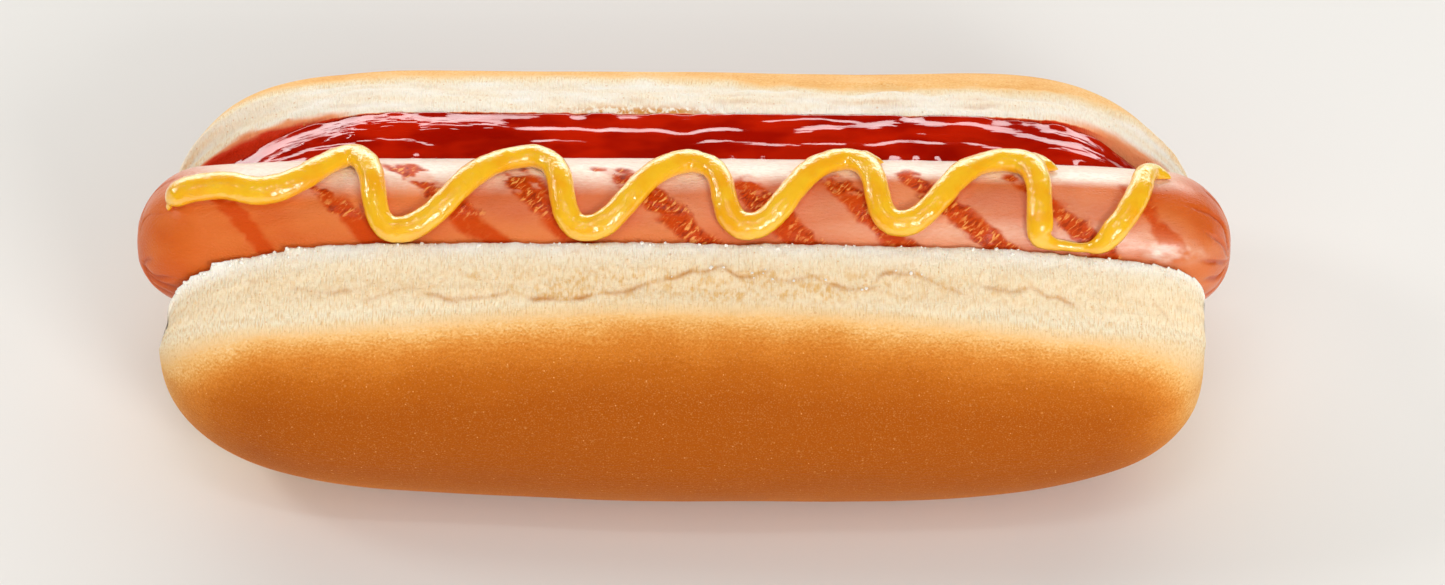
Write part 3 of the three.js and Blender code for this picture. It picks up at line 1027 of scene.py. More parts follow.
    def _creases(self, points: Array) -> Array:
        """Depth of the gathers that run into the two tips, at points on the skin.

        Args:
            points: Points on the skin.

        Returns:
            A depth for each point.
        """
        depth = np.zeros(len(points))
        for crease in self.creases:
            line = catmull_rom(np.array(crease.points, float), np.linspace(0.0, 1.0, self.crease_steps))
            path = self.point(line[:, 0], line[:, 1])
            near = np.nonzero(np.abs(points[:, 0] - path[:, 0].mean()) < self.crease_reach)[0]
            away = np.linalg.norm(points[near, None, :] - path[None, :, :], axis=2)
            along = np.argmin(away, axis=1) / (len(path) - 1)
            fade = smoothstep(1.0 - along, 0, 0.5) * smoothstep(along, -0.1, 0.15)
            cut = crease.depth * fade * bump(away.min(axis=1), 0, crease.width)
            depth[near] = np.maximum(depth[near], cut)
        return depth

    def _scorch(self, x: Array, angle: Array) -> tuple[Array, Array]:
        """Where the casing is scorched, and where the scorched skin is blistered too.

        Args:
            x: Places along X.
            angle: Angles round the casing.

        Returns:
            Both masks, from 0 to 1.
        """
        place = np.stack([x, angle * self.degree_length, np.zeros_like(x)], axis=-1)
        edge = Grain.SCORCH_EDGE.at(place, (3.2, 2.6, 1), 3)
        ragged = Grain.CHAR_EDGE.at(place, (0.9, 0.8, 1), 2)
        patchy = Grain.CHAR_PATCHES.at(place, (2.4, 2.4, 1), 2)
        gaps = Grain.CHAR_GAPS.at(place, (1.5, 1.1, 1), 2)
        scorch = np.zeros_like(x)
        char = np.zeros_like(x)
        for mark in self.marks:
            away = np.abs(x - mark.x - mark.slant * (angle - self.mark_angle)) + 0.7 * edge
            reach = fall(angle + 5.0 * edge, mark.top - 6.0, mark.top + 4.0)
            reach = reach * smoothstep(angle, mark.foot - 20.0, mark.foot + 10.0)
            strength = lerp(mark.lower, mark.upper, smoothstep(angle, 48, 62))
            core = fall(away + 0.7 * ragged, 0.36 * mark.width, 0.62 * mark.width)
            core = core * (0.25 + 0.75 * smoothstep(patchy, -0.7, 0))
            wide = fall(away + 0.3 * ragged, 0.3 * mark.width, 0.62 * mark.width)
            bare = smoothstep(angle, 62, 78) * fall(gaps, -0.5, 0.1)
            wide, core = wide * (1.0 - 0.8 * bare), core * (1.0 - 0.9 * bare)
            scorch = np.maximum(scorch, reach * mark.depth * wide)
            char = np.maximum(char, reach * core * strength)
        return scorch, char

    def _painted_sheen_mask(self, points: Array, x: Array, angle: Array) -> Array:
        """Where a sheen is painted into the casing's colour: over the top, low on the side, and a painted
        highlight at the right end.

        Args:
            points: Points on the skin.
            x: Places along X.
            angle: Angles round the casing.

        Returns:
            The mask, from 0 to 1.
        """
        # Painted sheen over the top, low on the side and along the side; painted highlight as a blob at the
        # right end.
        off_tips = fall(np.abs(x), *self.tip_fade)
        top_from = 65.0 + 19.0 * smoothstep(x, -2, 24)
        top = off_tips * smoothstep(angle, top_from, 101) * fall(angle, 200, 250)
        low = off_tips * smoothstep(x, 0, 45) * bump(angle, 44, 14)
        side = smoothstep(x, -70, 30) * fall(x, 60, 67) * bump(angle, 64, 26)
        grainy = 0.8 + 0.7 * Grain.CASING_SHINE.at(points, (1.4, 0.9, 0.9), 2)
        painted_highlight = bump(x, 69, 4) * bump(angle, 36, 9) * grainy
        return np.maximum(np.maximum(top, 0.39 * low), np.maximum(0.15 * side, 0.85 * painted_highlight))

    def _grease(self, x: Array, angle: Array) -> Array:
        """Where the casing is glossy: over the top and at the right end."""
        right_end = smoothstep(x, 46, 58) * fall(angle, 60, 80)
        return np.maximum(0.6 * smoothstep(angle, 78, 100), right_end)

    def build(self, finish: CasingFinish) -> Piece:
        """Builds the casing and dresses it.

        Args:
            finish: What the casing is made of.

        Returns:
            The casing.
        """
        stations = self._stations()
        angles = self._angles()[::-1]
        x, angle = np.meshgrid(stations, angles, indexing="ij")
        flat_x = np.concatenate([[-self.left_length], x.ravel(), [self.right_length]])
        flat_angle = np.concatenate([[0.0], angle.ravel(), [0.0]])
        flat = self.point(flat_x, flat_angle)
        creases = self._creases(flat)
        flat[:, 0] -= np.sign(flat_x) * self.dimple * smoothstep(self.cap_share(flat_x), 0.95, 1)
        piece = make_mesh("sausage_casing", flat, closed_tube(self.rounds, len(stations)))
        scorch, char = self._scorch(flat_x, flat_angle)
        swell = 0.12 * Grain.CASING_SWELL.at(flat, (16, 9, 9), 2)
        pucker = 0.03 * Grain.CASING_PUCKER.at(flat, (2.4, 1.2, 1.2), 2)
        blister = (0.07 * Grain.CASING_BLISTERS.at(flat, 0.8, 2) - 0.07) * char
        relief = swell + pucker + blister - 0.05 * scorch - creases
        write_points(piece, flat + read_normals(piece) * relief[:, None])
        around = self.radius * np.radians(flat_angle)
        greasy = self._grease(flat_x, flat_angle) * (1.0 - 0.85 * scorch)
        masks = {
            "scorch": scorch,
            "char": char,
            # Painted shade in the gathers at the tips.
            "crease": np.clip(creases * 1.8, 0.0, 0.8),
            "ruddy": 0.45 * smoothstep(-flat_x, 20, 78) * (1.0 - scorch),
            # Painted sheen and highlight, left out on the scorch marks.
            "pale": self._painted_sheen_mask(flat, flat_x, flat_angle) * (1.0 - 0.95 * scorch),
            "gloss": np.maximum(greasy, 0.3 * char),
            "skin": np.column_stack([flat_x + around, flat_x - around, 0.0 * flat_x]),
        }
        write_masks(piece, masks)
        piece.data.materials.append(finish.make())
        return piece


# ---------------- bun


class Side(Enum):
    """The two ends of the bun."""

    LEFT = -1
    RIGHT = 1


@dataclass(frozen=True)
class EndRound:
    """How a lobe rounds off at one end."""

    tip: float
    fullness: float
    power: float


@dataclass(frozen=True)
class Fold:
    """One thin fold in the band: points of place along X and length from the rim, depth, and tan: how
    strong the shade painted along it is.
    """

    points: Pairs
    depth: float
    tan: float

    def below(self, x: Array, from_rim: Array, wobble: Array) -> tuple[Array, Array]:
        """How far below the fold's wobbly line some places are, and how strong the fold is there."""
        line, strength = along_line(self.points, x, 1.0, 1.5)
        return from_rim - line - wobble, strength


@dataclass(frozen=True)
class BreadPlaces:
    """Vertices of the bread, and their places: along X, and along the crust or back into the split."""

    points: Array
    places: Array
    total: float

    @property
    def x(self) -> Array:
        """Places along X."""
        return self.places[:, 0]

    @property
    def length(self) -> Array:
        """Lengths along the crust from the front rim, below 0 or past the total in the split."""
        return self.places[:, 1]

    @property
    def front(self) -> Array:
        """True on the front lobe."""
        return self.length < 0.5 * self.total

    @property
    def rear(self) -> Array:
        """1 on the rear lobe and 0 on the front one."""
        return 1.0 - self.front

    @property
    def from_rim(self) -> Array:
        """Length down the crust from the nearer rim, below 0 in the split."""
        return np.where(self.front, self.length, self.total - self.length)

    @property
    def on_crust(self) -> Array:
        """1 on the crust and its band, and 0 in the split."""
        return (self.from_rim >= 0.0) * 1.0


@dataclass
class Bun:
    """The split bun: one crust surface from rim to rim, and the split between the rims."""

    sausage: Sausage
    front_y: float = -14.9
    front_belly: float = 19.6
    rear_y: float = 15.3
    rear_belly: float = 20.5
    band_angle: float = 24.0
    front_rim: tuple[float, float] = (-12.8, 41.4)
    rear_rim: tuple[float, float] = (13.4, 42.0)
    rim_handle: tuple[float, float] = (2.3, 1.1)
    band_handle: tuple[float, float] = (4.2, 1.9)
    lip_handle: tuple[float, float] = (0.4, 1.6)
    bed_handle: tuple[float, float] = (0.2, 2.4)
    bed_angles: tuple[float, float] = (173.0, 326.0)
    fullest_x: float = 4.0
    ends: dict[tuple[str, Side], EndRound] = field(
        default_factory=lambda: {
            ("front", Side.LEFT): EndRound(-75.3, 4.0, 0.4),
            ("front", Side.RIGHT): EndRound(74.7, 4.2, 0.33),
            ("rear", Side.LEFT): EndRound(-74.7, 8.0, 0.62),
            ("rear", Side.RIGHT): EndRound(74.8, 6.8, 0.72),
        }
    )
    end_edge: Pairs = (
        *((-15, 30), (-15.6, 22.5), (-9.5, 17), (0.5, 16), (8.5, 17.5), (13.2, 22.5), (11.6, 28.8)),
    )
    corner_cut: dict[Side, float] = field(default_factory=lambda: {Side.LEFT: 1.3, Side.RIGHT: 0.4})
    rear_sink: tuple[float, float] = (5.0, 4.5)
    rear_slump: Pairs = (
        *((-75, 0.4), (-66, 0.35), (-58, -0.1), (-50, -0.4), (-42, -0.2), (-20, -0.28), (0, -0.25)),
        *((25, -0.35), (40, 0), (52, 0.15), (62, 0.15), (75, 0)),
    )
    band_fade: tuple[float, float] = (9.0, 14.0)
    band_swell: tuple[float, float] = (0.15, 0.34)
    rim_width: float = 2.3
    bake_depth: float = 16.0
    base_bake: float = 0.75
    settle: float = 1.6
    settle_height: float = 8.0
    ring_count: int = 29
    body_ring: int = 5
    stations: int = 440
    crowding: float = 0.3
    fine_steps: int = 4001
    ring_steps: tuple[tuple[float, int], ...] = ((5, 52), (6, 18), (13, 32), (23, 38), (24, 8), (29, 32))
    split_rings: tuple[float, ...] = (
        *(0, 0.6, 1.2, 2, 3, 4.5, 7, 9, 11, 13, 15, 17, 19, 21, 23),
        *(24.5, 25.5, 26.3, 27, 27.6, 28.1, 28.5, 28.8, 29),
    )
    folds: tuple[Fold, ...] = (
        Fold(((-62.5, 3.8), (-61, 4.7), (-59.7, 4)), 0.6, 0.5),
        Fold(((-56, 6.7), (-51.5, 7.7), (-46.5, 7.4)), 0.6, 0.4),
        Fold(((-46, 9), (-42, 8.4), (-37, 7.3)), 0.7, 0.5),
        Fold(((-37.5, 8.5), (-33, 9), (-28, 9.2), (-25, 8.5)), 0.9, 0.6),
        Fold(((-22, 8.8), (-17.3, 9.2), (-13.3, 8.7), (-9.2, 8), (-6.8, 7.5), (-3.5, 6.7)), 1, 0.9),
        Fold(((-3.5, 6.7), (-1, 5.8), (0.7, 5), (3.2, 4.7), (5.5, 3.8)), 1, 1),
        Fold(((5, 3.8), (7.7, 5.4), (12.1, 5.1)), 0.9, 0.9),
        Fold(((12.1, 6.3), (15.1, 6), (18, 5.4), (20.9, 6.5), (23.7, 7.1), (27.3, 7)), 0.8, 0.8),
        Fold(((27, 6.2), (28.6, 4.7), (32.8, 4.6), (34.8, 5.4), (36.8, 6.7), (40, 7.8)), 0.9, 0.8),
        Fold(((42.5, 6.6), (46.7, 6.8), (49.6, 5.8), (51.3, 6.9), (53.5, 7.6), (55.5, 8.7)), 0.8, 0.6),
        Fold(((67, 7.5), (68.5, 9), (69.5, 10.4)), 0.5, 0.4),
    )
    rear_folds: tuple[Fold, ...] = (
        Fold(((-52, 3), (-48, 1.6), (-42, 1.4), (-36.5, 2.2)), 1.2, 0.5),
        Fold(((-58, 4.6), (-50, 5.2), (-44, 4.4)), 1, 0.2),
        Fold(((-34, 4.4), (-28, 4.8), (-22, 4.2)), 1, 0.2),
        Fold(((-20, 3.4), (-12, 2.6), (-4, 3.2)), 1.2, 0.3),
        Fold(((4, 2.6), (11, 2.4), (17, 3)), 1.6, 0.5),
        Fold(((6, 4.6), (13, 4.4), (20, 4.9)), 1.2, 0.3),
        Fold(((15, 4), (22, 2.6), (31, 3), (38, 4.4)), 1.6, 0.6),
        Fold(((20, 1.5), (28, 1.6), (36, 2.2), (46, 2.4)), 1.4, 0.6),
        Fold(((33, 5), (40, 4.2), (48, 4)), 1.2, 0.3),
    )
    tears: Triples = (
        *((-72.4, 0.5, 1.4), (-70.6, 0.6, 1.2), (-69.2, 0.5, 1), (-67.4, 1.3, 3.2), (-64.2, 0.35, 1.5)),
        *((-61.6, 0.3, 1.2), (-56.9, 0.7, 3.6), (-54.9, 0.3, 0.8), (-52.3, 0.25, 1.4), (-44, 0.15, 1.5)),
        *((60.4, 0.3, 0.7), (66.8, 0.35, 1), (70.4, 0.35, 1.2), (72.5, 0.5, 1)),
    )

    def __post_init__(self) -> None:
        """Draws the two outlines of the middle section."""
        self.crust = self._crust_outline()
        self.split = self._split_outline()

    def _crust_outline(self) -> Outline:
        """Crust of the middle section, from the front rim under the bun to the rear rim.

        Returns:
            The outline, in Y and Z.
        """
        angle = radians(self.band_angle)
        aside, above = sin(angle), 1.0 + cos(angle)
        front_top = (self.front_y - self.front_belly * aside, self.front_belly * above)
        rear_top = (self.rear_y + self.rear_belly * aside, self.rear_belly * above)
        up = pi / 2
        crust = Outline(self.front_rim)
        crust.bezier(
            (self.front_rim[0] - self.rim_handle[0], self.front_rim[1] + self.rim_handle[1]),
            (front_top[0] + self.band_handle[0], front_top[1] + self.band_handle[1]),
            front_top,
        )
        crust.arc((self.front_y, self.front_belly), self.front_belly, up + angle, 3.0 * up)
        crust.line((self.rear_y, 0.0))
        crust.arc((self.rear_y, self.rear_belly), self.rear_belly, -up, up - angle)
        crust.bezier(
            (rear_top[0] - self.band_handle[0], rear_top[1] + self.band_handle[1]),
            (self.rear_rim[0] + self.rim_handle[0], self.rear_rim[1] + self.rim_handle[1]),
            self.rear_rim,
        )
        return crust

    def _split_outline(self) -> Outline:
        """The split, from the front rim round the sausage's bed and up to the rear rim.

        Returns:
            The outline, in Y and Z.
        """
        radius = self.sausage.radius + GAP
        centre = (self.sausage.centre_y, self.sausage.centre_z)
        start, end = (radians(angle) for angle in self.bed_angles)
        bed = (centre[0] + radius * cos(start), centre[1] + radius * sin(start))
        split = Outline(self.front_rim)
        split.bezier(
            (self.front_rim[0] + self.lip_handle[0], self.front_rim[1] - self.lip_handle[1]),
            (bed[0] - self.bed_handle[0], bed[1] + self.bed_handle[1]),
            bed,
        )
        split.arc(centre, radius, start, end)
        split.line(self.rear_rim)
        return split

    def fold_from_rim(self, x: Array) -> Array:
        """Length from a rim down its band to the step that the solids have there."""
        return 8.2 - 3.8 * bump(x, 5, 11) + 0.5 * np.sin(x / 7.0) * np.cos(x / 19.0)

    def _knot(self, number: int, fold: Array) -> Array:
        """Length along the crust at one of the solid's own rings.

        Args:
            number: Number of the ring.
            fold: Length from a rim to the step.

        Returns:
            Lengths along the crust.
        """
        if number > self.ring_count / 2:
            return self.crust.total - self._knot(self.ring_count - number, fold)
        if number < self.body_ring:
            return (0.0 * fold, 0.32 * fold, 0.68 * fold, fold - 0.55, fold + 0.55)[number]
        start = fold + 2.3
        steps = self.ring_count - 2 * self.body_ring
        return lerp(start, self.crust.total - start, (number - self.body_ring) / steps)

    def length_at(self, x: Array, ring: float) -> Array:
        """Length along the crust at a place between the solid's rings.

        Args:
            x: Places along X.
            ring: Ring, with its fraction.

        Returns:
            Lengths along the crust.
        """
        number = min(int(ring), self.ring_count - 1)
        fold = self.fold_from_rim(x)
        return lerp(self._knot(number, fold), self._knot(number + 1, fold), ring - number)

    def rim_lift(self, x: Array, front: bool) -> Array:
        """How much a rim lies above its height at the middle."""
        return -0.016 * x - 0.6 * bump(x, 58, 10) if front else -0.01 * x

    def end_round(self, side: Side, share: float) -> EndRound:
        """The rounding of one end, blended from the front lobe to the rear one.

        Args:
            side: Which end.
            share: Share of the way from the front rim to the rear one.

        Returns:
            The rounding there.
        """
        front, rear = self.ends["front", side], self.ends["rear", side]
        across = float(smoothstep(share, 0.25, 0.75))
        cut = max(float(fall(share, 0.04, 0.15)), float(bump(share, 0.5, 0.14)))
        shorter = side.value * self.corner_cut[side] * cut
        return EndRound(
            lerp(front.tip, rear.tip, across) - shorter,
            lerp(front.fullness, rear.fullness, across),
            lerp(front.power, rear.power, across),
        )

    def _towards_end(self, point: Array, x: Array, share: float) -> Array:
        """Points of the full section drawn in towards the end edge.

        Args:
            point: Points of the full section.
            x: Places along X.
            share: Share of the way across.

        Returns:
            The drawn-in points.
        """
        size = np.zeros_like(x)
        for side in Side:
            end = self.end_round(side, share)
            on_side = (x < self.fullest_x) if side is Side.LEFT else (x >= self.fullest_x)
            reach = np.clip((x - self.fullest_x) / (end.tip - self.fullest_x), 0.0, 1.0)
            size = np.where(on_side, (1.0 - reach**end.fullness) ** end.power, size)
        on_belly = smoothstep(share, 0.1, 0.25) * fall(share, 0.3, 0.6)
        size = size * (1.0 - 0.045 * bump(x, -34, 20) * on_belly)
        edge = catmull_rom(np.array(self.end_edge), np.full_like(x, share))
        edge[..., 1] += 0.025 * x * fall(share, 0, 0.25)
        placed = lerp(edge, point, size[..., None])
        left, right = self.rear_sink
        sink = left * smoothstep(-x, 43, 71) + right * smoothstep(x, 53, 72)
        placed[..., 1] -= sink * smoothstep(share, 0.86, 1)
        return placed

    def crust_point(self, x: Array, length: Array, share: float) -> Array:
        """Points of the crust, in Y and Z.

        Args:
            x: Places along X.
            length: Lengths along the crust.
            share: Share of the way across.

        Returns:
            The points.
        """
        point = self.crust.at(length)
        front = share < 0.5
        point[..., 1] += self.rim_lift(x, front) * smoothstep(point[..., 1], 20, 40)
        placed = self._towards_end(point, x, share)
        height = placed[..., 1]
        settled = height - self.settle * fall(height, 0, self.settle_height)
        placed[..., 1] = np.maximum(0.0, settled)
        return placed

    def split_point(self, x: Array, share: Amount) -> Array:
        """Points of the split, in Y and Z, by the share of the way from the front rim to the rear one.

        Args:
            x: Places along X.
            share: Share of the way across.

        Returns:
            The points.
        """
        point = self.split.at(np.broadcast_to(np.asarray(share) * self.split.total, x.shape))
        near_rim = smoothstep(point[..., 1], 35, 41)
        bed = self.sausage.axis_z(x) - self.sausage.centre_z
        front = float(np.mean(share)) < 0.5
        point[..., 1] += lerp(bed, self.rim_lift(x, front), near_rim)
        return self._towards_end(point, x, float(np.mean(share)))

    @property
    def wall_start(self) -> float:
        """Share of the split at which its straight rear wall begins."""
        wall = np.linalg.norm(self.split.points[-1] - self.split.points[-Outline.STEPS])
        return 1.0 - float(wall) / self.split.total

    def _rings(self) -> tuple[Array, list[int]]:
        """Fractional rings of the fine crust, and which of them the split shares.

        Returns:
            The fractional rings, and the numbers of the shared ones.
        """
        rings = [0.0]
        for end, count in self.ring_steps:
            rings += list(np.linspace(rings[-1], end, count + 1)[1:])
        rings = np.array(rings)
        return rings, sorted({int(np.argmin(np.abs(rings - ring))) for ring in self.split_rings})

    def _station_x(self, share: float) -> Array:
        """Places of the stations along one ring, from tip to tip, crowded towards the tips.

        Args:
            share: Share of the way across.

        Returns:
            Places along X.
        """
        fine = np.sin(np.linspace(-pi / 2, pi / 2, self.fine_steps))
        along = lerp(0.5 * (1.0 + fine), np.linspace(0, 1, self.fine_steps), self.crowding)
        swing = np.interp(np.linspace(0.0, 1.0, self.stations + 1), along, fine)
        tips = {side: self.end_round(side, share).tip for side in Side}
        tip = np.where(swing < 0.0, tips[Side.LEFT], tips[Side.RIGHT])
        return self.fullest_x + np.abs(swing) * (tip - self.fullest_x)

    def build(self, finish: BreadFinish) -> Piece:
        """Builds the bread and dresses it.

        Args:
            finish: What the bread is made of.

        Returns:
            The bread.
        """
        rings, shared = self._rings()
        columns = []
        lay = []
        for ring in rings:
            share = ring / self.ring_count
            x = self._station_x(share)
            length = self.length_at(x, ring)
            columns.append(np.column_stack([x, self.crust_point(x, length, share)]))
            lay.append(np.column_stack([x, length, np.zeros_like(x)]))
        inner = shared[1:-1]
        for number in inner:
            share = rings[number] / self.ring_count
            x = self._station_x(share)[1:-1]
            columns.append(np.column_stack([x, self.split_point(x, share)]))
            past = share * self.split.total
            length = -past if share < 0.5 else self.crust.total + self.split.total - past
            lay.append(np.column_stack([x, np.full_like(x, length), np.zeros_like(x)]))
        points = np.vstack(columns)
        piece = make_mesh("bun_bread", points, self._faces(len(rings), shared))
        places = np.vstack(lay)
        relief, masks = self._relief(BreadPlaces(points, places, self.crust.total))
        moved = points + read_normals(piece) * relief[:, None]
        moved[:, 2] += self._ragged(places)
        moved[:, 2] = np.maximum(moved[:, 2], 0.0)
        moved = self._hug(moved, places)
        write_points(piece, moved)
        write_masks(piece, {"lay": places, **masks})
        piece.data.materials.append(finish.make())
        return piece

    def _faces(self, rings: int, shared: list[int]) -> list[tuple[int, ...]]:
        """Faces between the crust's rings, and between the fewer rings of the split.

        Args:
            rings: How many rings the crust has.
            shared: Numbers of the shared rings.

        Returns:
            The faces.
        """
        across = self.stations + 1
        faces: list[tuple[int, ...]] = []
        for ring in range(rings - 1):
            here, there = ring * across, (ring + 1) * across
            for i in range(self.stations):
                faces.append((here + i, there + i, there + i + 1, here + i + 1))

        base = rings * across
        inner_across = self.stations - 1
        inner = {number: base + i * inner_across for i, number in enumerate(shared[1:-1])}

        def vertex(number: int, station: int) -> int:
            """Vertex of the split at one of the shared rings and a station.

            Args:
                number: Number of the ring.
                station: Number of the station.

            Returns:
                The vertex's number.
            """
            if station in (0, self.stations) or number not in inner:
                return number * across + station
            return inner[number] + station - 1

        for here, there in zip(shared, shared[1:]):
            for i in range(self.stations):
                low_edge = [vertex(there, i), vertex(here, i)]
                high_edge = [vertex(here, i + 1), vertex(there, i + 1)]
                if i == 0:
                    low_edge = [number * across for number in range(there, here - 1, -1)]
                if i == self.stations - 1:
                    high_edge = [number * across + self.stations for number in range(here, there + 1)]
                faces.append(tuple(low_edge + high_edge))
        return faces

    def _ragged(self, places: Array) -> Array:
        """How far the torn rims stand above or below their smooth line.

        Args:
            places: Place along X and along the crust of each vertex.

        Returns:
            A height for each vertex.
        """
        x, length = places[:, 0], places[:, 1]
        from_rim = np.minimum(np.abs(length), np.abs(length - self.crust.total))
        front = length < 0.5 * self.crust.total
        near = np.exp(-((from_rim / 0.8) ** 2))
        line = np.column_stack([x, 0.0 * x, 40.0 * front])
        height = 0.13 * Grain.RIM_LINE.at(line, (2.2, 1, 1), 2)
        height += 0.09 * Grain.RIM_TEETH.at(line, (0.6, 1, 1), 2)
        for at, tall, wide in self.tears:
            past = (x - at) / wide
            height += front * tall * np.where(past > 0.0, np.exp(-np.maximum(past, 0.0)), 0.0)
        return height * near

    def _hug(self, points: Array, places: Array) -> Array:
        """Draws the lip of the front rim in against the casing.

        Args:
            points: Vertices.
            places: Their places along X and along the crust.

        Returns:
            The drawn-in vertices.
        """
        x, past = places[:, 0], places[:, 1]
        axis = np.column_stack([np.full_like(x, self.sausage.centre_y), self.sausage.axis_z(x)])
        away = points[:, 1:] - axis
        distance = np.linalg.norm(away, axis=1)
        near = bump(past, -0.4, 0.9) * fall(np.abs(x), 60, 68)
        pull = near * np.clip(distance - self.sausage.radius_at(x) - 0.1, 0.0, 0.5)
        drawn = points.copy()
        drawn[:, 1:] -= away * (pull / distance)[:, None]
        return drawn

    def _folded(self, x: Array, from_rim: Array, folds: Sequence[Fold]) -> dict[str, Array]:
        """Relief of some folds at places on the band, and the shade painted along them: a tan halo above
        each fold and a dark line in it.

        Args:
            x: Places along X.
            from_rim: Lengths from the rim.
            folds: The folds.

        Returns:
            Each mask by its name.
        """
        places = np.column_stack([x, from_rim, 0.0 * x])
        wobble = 0.35 * Grain.FOLD_LINE.at(places, (3, 50, 1), 3)
        wobble += 0.1 * Grain.FOLD_TEETH.at(places, (0.5, 2, 1))
        uneven = np.clip(0.7 + 0.6 * Grain.FOLD_STRENGTH.at(places, (2.4, 50, 1), 3), 0.15, 1.2)
        total = {name: np.zeros_like(x) for name in ("relief", "tan", "line")}
        for fold in folds:
            below, strength = fold.below(x, from_rim, wobble)
            above = np.minimum(below, 0.0)
            under = np.maximum(below, 0.0)
            under_share = 0.5 + 0.5 * np.tanh(below / 0.36)
            bulge = lerp(-0.15 * np.exp(above / 1.8), 0.15 * np.exp(-under / 1.6), under_share)
            groove = -0.02 * bump(below, -0.1, 0.25)
            total["relief"] += fold.depth * strength * uneven * (bulge + groove)
            # Painted shade: a tan halo above each fold, under its lip, and a dark line along it.
            tan = np.where(below < 0.0, np.exp(above / 1.8), 0.7 * np.exp(-under / 0.4))
            total["tan"] = np.maximum(total["tan"], 1.25 * fold.tan * strength * tan)
            total["line"] = np.maximum(total["line"], fold.tan * strength * uneven * bump(below, -0.1, 0.4))
        return total

    def _form_relief(self, at: BreadPlaces) -> Array:
        """Swells, pores and slump of the bread, along its normals.

        Args:
            at: The places.

        Returns:
            Relief at each place.
        """
        x, from_rim = at.x, at.from_rim
        band = at.on_crust * fall(from_rim, *self.band_fade)
        relief = -0.2 * at.on_crust * smoothstep(from_rim, 0, 2) * fall(from_rim, 6, 12)
        swell = np.where(at.front, *self.band_swell)
        relief += swell * band * Grain.BAND_SWELL.at(at.places, (6, 2.4, 1), 4)
        relief += 0.05 * band * Grain.BAND_PORES.at(at.places, (0.9, 1.6, 1), 2)
        crust_swell = Grain.CRUST_SWELL.at(at.points, (26, 14, 14), 2)
        relief += 0.3 * at.on_crust * (1.0 - band) * crust_swell
        relief += 0.15 * (1.0 - at.on_crust) * Grain.SPLIT_PORES.at(at.points, 1.6, 2)
        slump_x, slump = np.array(self.rear_slump).T
        return relief + at.rear * smoothstep(from_rim, 3, 8) * np.interp(x, slump_x, slump)

    def _rear_border(self, at: BreadPlaces) -> Array:
        """Length from the rear rim at which the pale band gives way to crust."""
        border = 10.0 - 3.6 * smoothstep(at.x, 0, 20) + 1.2 * smoothstep(at.x, 44, 66)
        return border + 0.5 * Grain.REAR_BORDER.at(at.places, (3, 30, 1), 3)

    def _bake(self, at: BreadPlaces) -> Array:
        """How brown the crust is: least at the band and the ends, most on the front belly, with light
        painted in as a paler crust towards the bottom.

        Args:
            at: The places.

        Returns:
            The mask, from 0 to 1.
        """
        x, from_rim, total = at.x, at.from_rim, at.total
        rear_border = self._rear_border(at)
        rear_bake = 0.19 * smoothstep(from_rim, rear_border, rear_border + 3.0)
        rear_bake += 0.55 * smoothstep(from_rim, 14, 30)
        front_border = 9.0 + 3.2 * smoothstep(np.abs(x - 2.0), 8, 62)
        front_bake = (from_rim - front_border) / self.bake_depth
        front_share = fall(at.length, 0.4 * total, 0.6 * total)
        bake = lerp(rear_bake, front_bake, np.where(at.front, np.minimum(1, 2.0 * front_share), 0))
        from_middle = np.abs(at.length - 0.5 * total)
        bake = lerp(self.base_bake, bake, smoothstep(from_middle, 0, 0.12 * total))
        bake = np.clip(bake, 0.0, 1.0) * at.on_crust
        paler = 0.8 * smoothstep(x, 57, 75) + 0.75 * smoothstep(-x, 58, 76)
        bake *= 1.0 - (0.6 + 0.4 * front_share) * paler
        # Painted light: the crust is paler towards the bottom, most at the left, standing for light bounced
        # up from the floor.
        under = smoothstep(-at.points[:, 2], -16, -3)
        return bake * (1.0 - (0.5 + 0.3 * smoothstep(-x, 30, 66)) * under)

    def _stain(self, at: BreadPlaces) -> Array:
        """Where ketchup has soaked into the rear wall, and over its rim at the two ends.

        Args:
            at: The places.

        Returns:
            The mask, from 0 to 1.
        """
        x, from_rim = at.x, at.from_rim
        on_wall = at.rear * (1.0 - at.on_crust) * smoothstep(from_rim, -14, -10)
        on_wall *= 0.95 - 0.55 * smoothstep(x, 52, 64)
        at_ends = smoothstep(-x, 45, 58) + 0.42 * smoothstep(x, 50, 62)
        smeared = from_rim + 0.5 * Grain.STAIN_EDGE.at(at.places, (3, 1.5, 1), 3)
        reach = 1.7 + 1.0 * bump(x, -63, 8) + 1.2 * bump(x, 64, 7)
        return np.maximum(on_wall, at.rear * at.on_crust * fall(smeared / reach, 0, 1.2) * at_ends)

    def _rim(self, at: BreadPlaces) -> Array:
        """Where the bread is whitest: the torn front rim and the rear band.

        Args:
            at: The places.

        Returns:
            The mask, from 0 to 1.
        """
        front_rim = np.exp(-((np.maximum(at.from_rim, 0.0) / self.rim_width) ** 2))
        front_rim *= 0.85 + 0.3 * Grain.FRONT_RIM.at(at.places, 3, 3)
        border = self._rear_border(at)
        rear_rim = at.on_crust * fall(at.from_rim, border - 1.5, border + 0.5)
        streaks = Grain.REAR_RIM.at(at.places, (6, 1.6, 1), 3)
        rear_rim *= 0.62 - 0.35 * smoothstep(-at.x, 48, 64) + 0.3 * streaks
        return np.clip(np.where(at.front, front_rim, rear_rim), 0.0, 1.0)

